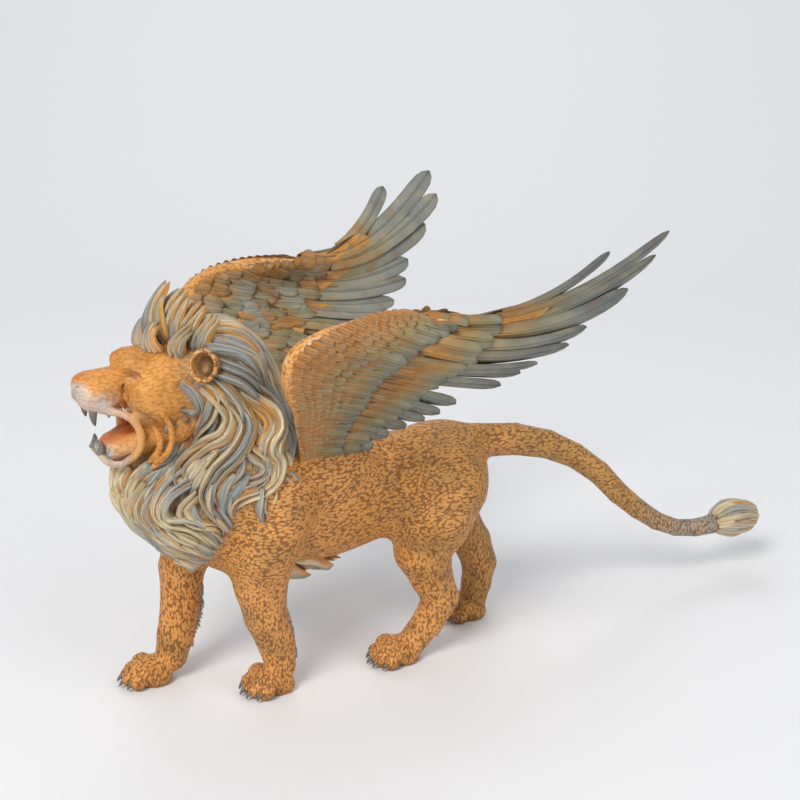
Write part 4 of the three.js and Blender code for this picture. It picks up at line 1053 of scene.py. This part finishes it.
class Shader:
    """A material's node tree, with short ways to add to it."""

    def __init__(self, name):
        self.material = bpy.data.materials.new(name)
        self.material.use_nodes = True
        self.tree = self.material.node_tree
        self.tree.nodes.clear()
        self.out = self.tree.nodes.new("ShaderNodeOutputMaterial")
        self.bsdf = self.tree.nodes.new("ShaderNodeBsdfPrincipled")
        self.tree.links.new(self.bsdf.outputs[0], self.out.inputs[0])

    def node(self, kind, *inputs, **settings):
        """A node with its settings, and its inputs from values or from other nodes' outputs."""
        n = self.tree.nodes.new("ShaderNode" + kind)
        for key, value in settings.items():
            setattr(n, key, value)
        for i, value in enumerate(inputs):
            self.put(n.inputs[i], value)
        return n

    def put(self, socket, value):
        if isinstance(value, bpy.types.NodeSocket):
            self.tree.links.new(value, socket)
        elif value is not None:
            socket.default_value = value

    def math(self, operation, *inputs):
        return self.node("Math", *inputs, operation=operation).outputs[0]

    def blend(self, share, a, b, mode="MIX"):
        n = self.tree.nodes.new("ShaderNodeMix")
        n.data_type, n.blend_type = "RGBA", mode
        self.put(n.inputs[0], share)
        self.put(n.inputs[6], a)
        self.put(n.inputs[7], b)
        return n.outputs[2]

    def between(self, value, low, high, start=0.0, end=1.0):
        n = self.node("MapRange", value, low, high, start, end)
        n.interpolation_type = "SMOOTHSTEP"
        return n.outputs[0]

    def attribute(self, name):
        return self.node("Attribute", attribute_name=name, attribute_type="GEOMETRY")

    def looks(self):
        split = self.tree.nodes.new("ShaderNodeSeparateXYZ")
        self.put(split.inputs[0], self.attribute("looks").outputs["Vector"])
        return split.outputs

    def place(self, scale, source="Object"):
        """Object or UV coordinates, times a scale along each axis."""
        at = self.tree.nodes.new("ShaderNodeTexCoord").outputs[source]
        return self.node("VectorMath", at, scale, operation="MULTIPLY").outputs[0]

    def noise(self, at, scale, detail=2.0, roughness=0.5, dimensions="3D"):
        n = self.tree.nodes.new("ShaderNodeTexNoise")
        n.noise_dimensions = dimensions
        self.put(n.inputs["Vector"], at)
        for key, value in (("Scale", scale), ("Detail", detail), ("Roughness", roughness)):
            n.inputs[key].default_value = value
        return n.outputs[0]

    def cells(self, at):
        n = self.tree.nodes.new("ShaderNodeTexVoronoi")
        self.put(n.inputs["Vector"], at)
        n.inputs["Scale"].default_value = 1.0
        return n.outputs["Distance"]

    def bump(self, height, distance, strength=1.0, normal=None):
        n = self.tree.nodes.new("ShaderNodeBump")
        n.inputs["Strength"].default_value = strength
        n.inputs["Distance"].default_value = distance
        self.put(n.inputs["Height"], height)
        self.put(n.inputs["Normal"], normal)
        return n.outputs[0]

    def colour(self, rgb):
        return (*paint(rgb), 1.0)

    def finish(self, colour, roughness, normal, metallic=0.12, specular=0.42):
        self.put(self.bsdf.inputs["Base Color"], colour)
        self.put(self.bsdf.inputs["Roughness"], roughness)
        self.put(self.bsdf.inputs["Normal"], normal)
        self.bsdf.inputs["Metallic"].default_value = metallic
        self.bsdf.inputs["Specular IOR Level"].default_value = specular
        return self.material

    def shade_and_wash_in_hollows(self, colour, dark=(70, 50, 30), strength=0.85):
        """Darker where less sky reaches: painted shade in the hollows, which also stands for the dark wash that the
        patina has there.
        """
        hollow = self.attribute("cavity").outputs["Fac"]
        share = self.between(hollow, 0.35, 0.95, 0.0, strength)
        return self.blend(share, colour, self.colour(dark))


def fur_material():
    m = Shader("bronze_fur")
    fur, leg, hair = m.looks()
    base = m.attribute("paint").outputs["Color"]
    along = m.cells(m.place((300, 560, 560)))
    down = m.cells(m.place((560, 560, 320)))
    cell = m.node("Mix", leg, None, along, down).outputs[0]
    wobble = m.noise(m.place((1, 1, 1)), 420.0, 3.0, 0.6)
    stipple = m.between(m.math("ADD", cell, m.math("MULTIPLY", m.math("SUBTRACT", wobble, 0.5), 0.5)), 0.42, 0.78)
    stipple = m.math("MULTIPLY", stipple, fur)
    mottle = m.noise(m.place((1, 1, 1)), 60.0, 4.0, 0.6)
    colour = m.blend(m.between(mottle, 0.35, 0.7, 0.0, 0.35), base, m.colour((236, 170, 92)), "MIX")
    colour = m.blend(m.between(mottle, 0.3, 0.5, 0.28, 0.0), colour, m.colour((146, 104, 52)))
    colour = m.blend(m.math("MULTIPLY", stipple, 0.75), colour, m.colour((98, 58, 24)))
    strands = m.noise(m.place((900, 900, 220)), 1.0, 2.0, 0.5)
    colour = m.blend(m.math("MULTIPLY", m.between(strands, 0.4, 0.6), m.math("MULTIPLY", hair, 0.55)), colour, m.colour((96, 70, 44)))
    # painted shade in the hollows, with the patina's dark wash
    colour = m.shade_and_wash_in_hollows(colour, (74, 50, 28), 0.8)
    height = m.math("SUBTRACT", m.math("MULTIPLY", strands, hair), stipple)
    normal = m.bump(height, 0.0007, 0.8)
    fine = m.bump(m.noise(m.place((1, 1, 1)), 1500.0, 2.0), 0.0002, 0.3, normal)
    return m.finish(colour, m.between(mottle, 0.3, 0.7, 0.42, 0.6), fine)


def mane_material():
    m = Shader("bronze_mane")
    light, run, tint = m.looks()
    base = m.attribute("paint").outputs["Color"]
    lines = m.noise(m.place((1.05, 0.035, 1), "UV"), 1.0, 3.0, 0.65)
    broad = m.noise(m.place((0.35, 0.02, 1), "UV"), 1.0, 2.0, 0.5)
    groove = m.between(lines, 0.36, 0.56, 1.0, 0.0)
    colour = m.blend(m.between(broad, 0.45, 0.7, 0.0, 0.5), base, m.colour((238, 224, 190)), "MIX")
    colour = m.blend(m.math("MULTIPLY", groove, 0.55), colour, m.colour((112, 92, 68)))
    mottle = m.noise(m.place((1, 1, 1)), 45.0, 3.0, 0.6)
    colour = m.blend(m.between(mottle, 0.5, 0.75, 0.0, 0.35), colour, m.colour((150, 160, 164)))
    # painted shade in the hollows, with the patina's dark wash
    colour = m.shade_and_wash_in_hollows(colour, (92, 62, 34), 0.85)
    normal = m.bump(m.math("SUBTRACT", broad, m.math("MULTIPLY", groove, 0.6)), 0.0009, 0.8)
    return m.finish(colour, m.between(mottle, 0.3, 0.7, 0.4, 0.55), normal)


def feather_material():
    m = Shader("bronze_feather")
    rim, share, tint = m.looks()
    base = m.attribute("paint").outputs["Color"]
    uv = m.tree.nodes.new("ShaderNodeTexCoord").outputs["UV"]
    split = m.tree.nodes.new("ShaderNodeSeparateXYZ")
    m.put(split.inputs[0], uv)
    across = m.math("ABSOLUTE", split.outputs[0])
    wander = m.noise(m.place((0.25, 0.12, 1), "UV"), 1.0, 2.0)
    phase = m.math("SUBTRACT", split.outputs[1], m.math("MULTIPLY", across, 1.15))
    phase = m.math("ADD", phase, m.math("MULTIPLY", wander, 3.0))
    barb = m.math("SINE", m.math("MULTIPLY", phase, 2 * math.pi / 1.75))
    barb = m.between(barb, -0.4, 0.9)
    shaft = m.between(across, 0.35, 0.75, 1.0, 0.0)
    beside = m.math("MULTIPLY", m.between(across, 0.5, 0.8), m.between(across, 0.9, 1.6, 1.0, 0.0))
    mottle = m.noise(m.place((1, 1, 1)), 70.0, 4.0, 0.6)
    colour = m.blend(m.between(mottle, 0.42, 0.72, 0.0, 0.45), base, m.colour((206, 190, 150)))
    colour = m.blend(m.between(mottle, 0.3, 0.46, 0.4, 0.0), colour, m.colour((176, 116, 58)))
    colour = m.blend(m.math("MULTIPLY", m.math("SUBTRACT", 1.0, barb), 0.42), colour, m.colour((88, 78, 54)))
    colour = m.blend(m.math("MULTIPLY", beside, 0.5), colour, m.colour((74, 66, 52)))
    # painted shade in the hollows, with the patina's dark wash
    colour = m.shade_and_wash_in_hollows(colour, (72, 56, 34), 0.9)
    height = m.math("ADD", m.math("MULTIPLY", barb, 0.7), shaft)
    normal = m.bump(height, 0.0006, 0.8)
    return m.finish(colour, m.between(mottle, 0.3, 0.7, 0.45, 0.6), normal)


def horn_material():
    m = Shader("bronze_horn")
    base = m.attribute("paint").outputs["Color"]
    grain = m.noise(m.place((1, 1, 0.3)), 900.0, 3.0, 0.6)
    colour = m.blend(m.between(grain, 0.4, 0.7, 0.0, 0.5), base, m.colour((92, 84, 76)))
    # painted shade in the hollows, with the patina's dark wash
    colour = m.shade_and_wash_in_hollows(colour, (60, 48, 38), 0.6)
    return m.finish(colour, m.between(grain, 0.3, 0.7, 0.34, 0.5), m.bump(grain, 0.0003, 0.5))


# The one mesh

def hollowness(points, faces, normals, reach=15.0, rays=9):
    """How much of the sky each point is shut off from by what is near it, from 0 to 1."""
    tree = BVHTree.FromPolygons([Vector(p) for p in points], faces.tolist())
    spread = []
    for i in range(rays):
        z = 0.25 + 0.72 * (i + 0.5) / rays
        a = i * 2.39996
        spread.append((math.sqrt(1 - z * z) * math.cos(a), math.sqrt(1 - z * z) * math.sin(a), z))
    spread = np.array(spread)
    helper = np.where(np.abs(normals[:, 2:3]) < 0.9, np.array([[0, 0, 1.0]]), np.array([[1.0, 0, 0]]))
    a = unit(np.cross(normals, helper))
    b = np.cross(normals, a)
    starts = points + normals * 0.35
    shut = np.zeros(len(points))
    cast = tree.ray_cast
    for dx, dy, dz in spread:
        ways = a * dx + b * dy + normals * dz
        for i, (start, way) in enumerate(zip(starts.tolist(), ways.tolist())):
            hit = cast(start, way, reach)[3]
            if hit is not None:
                shut[i] += 1 - 0.7 * hit / reach
    return shut / rays


def build_casting():
    casting = Casting()
    body(casting)
    mane_locks(casting)
    under_hair(casting)
    free_tufts(casting)
    tail_locks(casting)
    leg_fringes(casting)
    teeth_and_claws(casting)
    wing(casting, 1)
    wing(casting, -1)
    points = np.vstack(casting.points)
    points[:, 2] = np.maximum(points[:, 2], 0)
    faces = np.vstack(casting.faces)
    mesh = bpy.data.meshes.new("winged_lion_casting")
    mesh.from_pydata(((points - (CENTRE_X, 0, 0)) * MM).tolist(), [], faces.tolist())
    corner = np.zeros(len(mesh.loops), int)
    mesh.loops.foreach_get("vertex_index", corner)
    mesh.uv_layers.new(name="UVMap").data.foreach_set("uv", np.vstack(casting.uvs)[corner].ravel())
    mesh.polygons.foreach_set("material_index", np.concatenate(casting.kinds))
    for maker in (fur_material, mane_material, feather_material, horn_material):
        mesh.materials.append(maker())
    colours = np.hstack([np.vstack(casting.colours), np.ones((len(points), 1))])
    mesh.attributes.new("paint", "FLOAT_COLOR", "POINT").data.foreach_set("color", colours.ravel())
    mesh.attributes.new("looks", "FLOAT_VECTOR", "POINT").data.foreach_set("vector", np.vstack(casting.looks).ravel())
    mesh.shade_smooth()
    mesh.set_sharp_from_angle(angle=math.radians(62))
    normals = np.zeros(len(points) * 3)
    mesh.vertices.foreach_get("normal", normals)
    # how far each point is shut off from the sky, which the shaders turn into painted shade in the hollows
    cavity = hollowness(points, faces, normals.reshape(-1, 3))
    mesh.attributes.new("cavity", "FLOAT", "POINT").data.foreach_set("value", cavity)
    mesh.validate()
    statue = bpy.data.objects.new("winged_lion_casting", mesh)
    bpy.context.scene.collection.objects.link(statue)
    return statue


# The stage: a pale sweep, soft light and the photograph's camera

AZIMUTH, ELEVATION = math.radians(-27), math.radians(17)
BACK = Vector((math.sin(AZIMUTH) * math.cos(ELEVATION), -math.cos(AZIMUTH) * math.cos(ELEVATION), math.sin(ELEVATION)))


def make_camera():
    data = bpy.data.cameras.new("camera")
    data.sensor_width = 36.0
    data.lens = 61.875
    data.clip_end = 50
    camera = bpy.data.objects.new("camera", data)
    camera.location = (-0.50253, -0.87435, 0.5)
    camera.rotation_euler = BACK.to_track_quat("Z", "Y").to_euler()
    bpy.context.scene.collection.objects.link(camera)
    bpy.context.scene.camera = camera


def make_sweep():
    ahead = Vector((-BACK.x, -BACK.y, 0)).normalized()
    aside = Vector((-ahead.y, ahead.x, 0))
    profile = [(-3.0, 0.0), (1.2, 0.0)]
    profile += [(1.2 + 1.5 * math.sin(a), 1.5 * (1 - math.cos(a))) for a in np.linspace(0.08, math.pi / 2, 20)]
    profile += [(2.7, 5.0)]
    points, faces = [], []
    for along, up in profile:
        for across in (-5.0, 5.0):
            points.append(ahead * along + aside * across + Vector((0, 0, up)))
    for i in range(len(profile) - 1):
        faces.append((2 * i, 2 * i + 2, 2 * i + 3, 2 * i + 1))
    mesh = bpy.data.meshes.new("sweep")
    mesh.from_pydata(points, [], faces)
    mesh.shade_smooth()
    material = bpy.data.materials.new("pale_paper")
    material.use_nodes = True
    bsdf = material.node_tree.nodes["Principled BSDF"]
    bsdf.inputs["Base Color"].default_value = (0.8, 0.8, 0.81, 1)
    bsdf.inputs["Roughness"].default_value = 0.7
    bsdf.inputs["Specular IOR Level"].default_value = 0.2
    mesh.materials.append(material)
    sweep = bpy.data.objects.new("sweep", mesh)
    bpy.context.scene.collection.objects.link(sweep)


def make_light(name, place, size, power, colour=(1, 1, 1)):
    data = bpy.data.lights.new(name, "AREA")
    data.shape, data.size, data.energy, data.color = "DISK", size, power, colour
    light = bpy.data.objects.new(name, data)
    light.location = place
    light.rotation_euler = (Vector(place) - Vector((0, 0, 0.15))).to_track_quat("Z", "Y").to_euler()
    bpy.context.scene.collection.objects.link(light)


def make_world():
    world = bpy.data.worlds.new("studio")
    bpy.context.scene.world = world
    world.use_nodes = True
    background = world.node_tree.nodes["Background"]
    background.inputs[0].default_value = (0.93, 0.96, 1.0, 1)
    background.inputs[1].default_value = 0.55


make_camera()
make_sweep()
make_light("key", (-1.9, -1.3, 2.3), 1.4, 62, (1.0, 0.985, 0.96))
make_light("fill", (1.6, -2.2, 1.6), 2.2, 16)
make_light("back", (1.0, 2.2, 2.4), 1.6, 16)
make_world()
bpy.context.scene.view_settings.view_transform = "Standard"

statue = build_casting()
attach(statue, "root")
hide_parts("winged_lion")
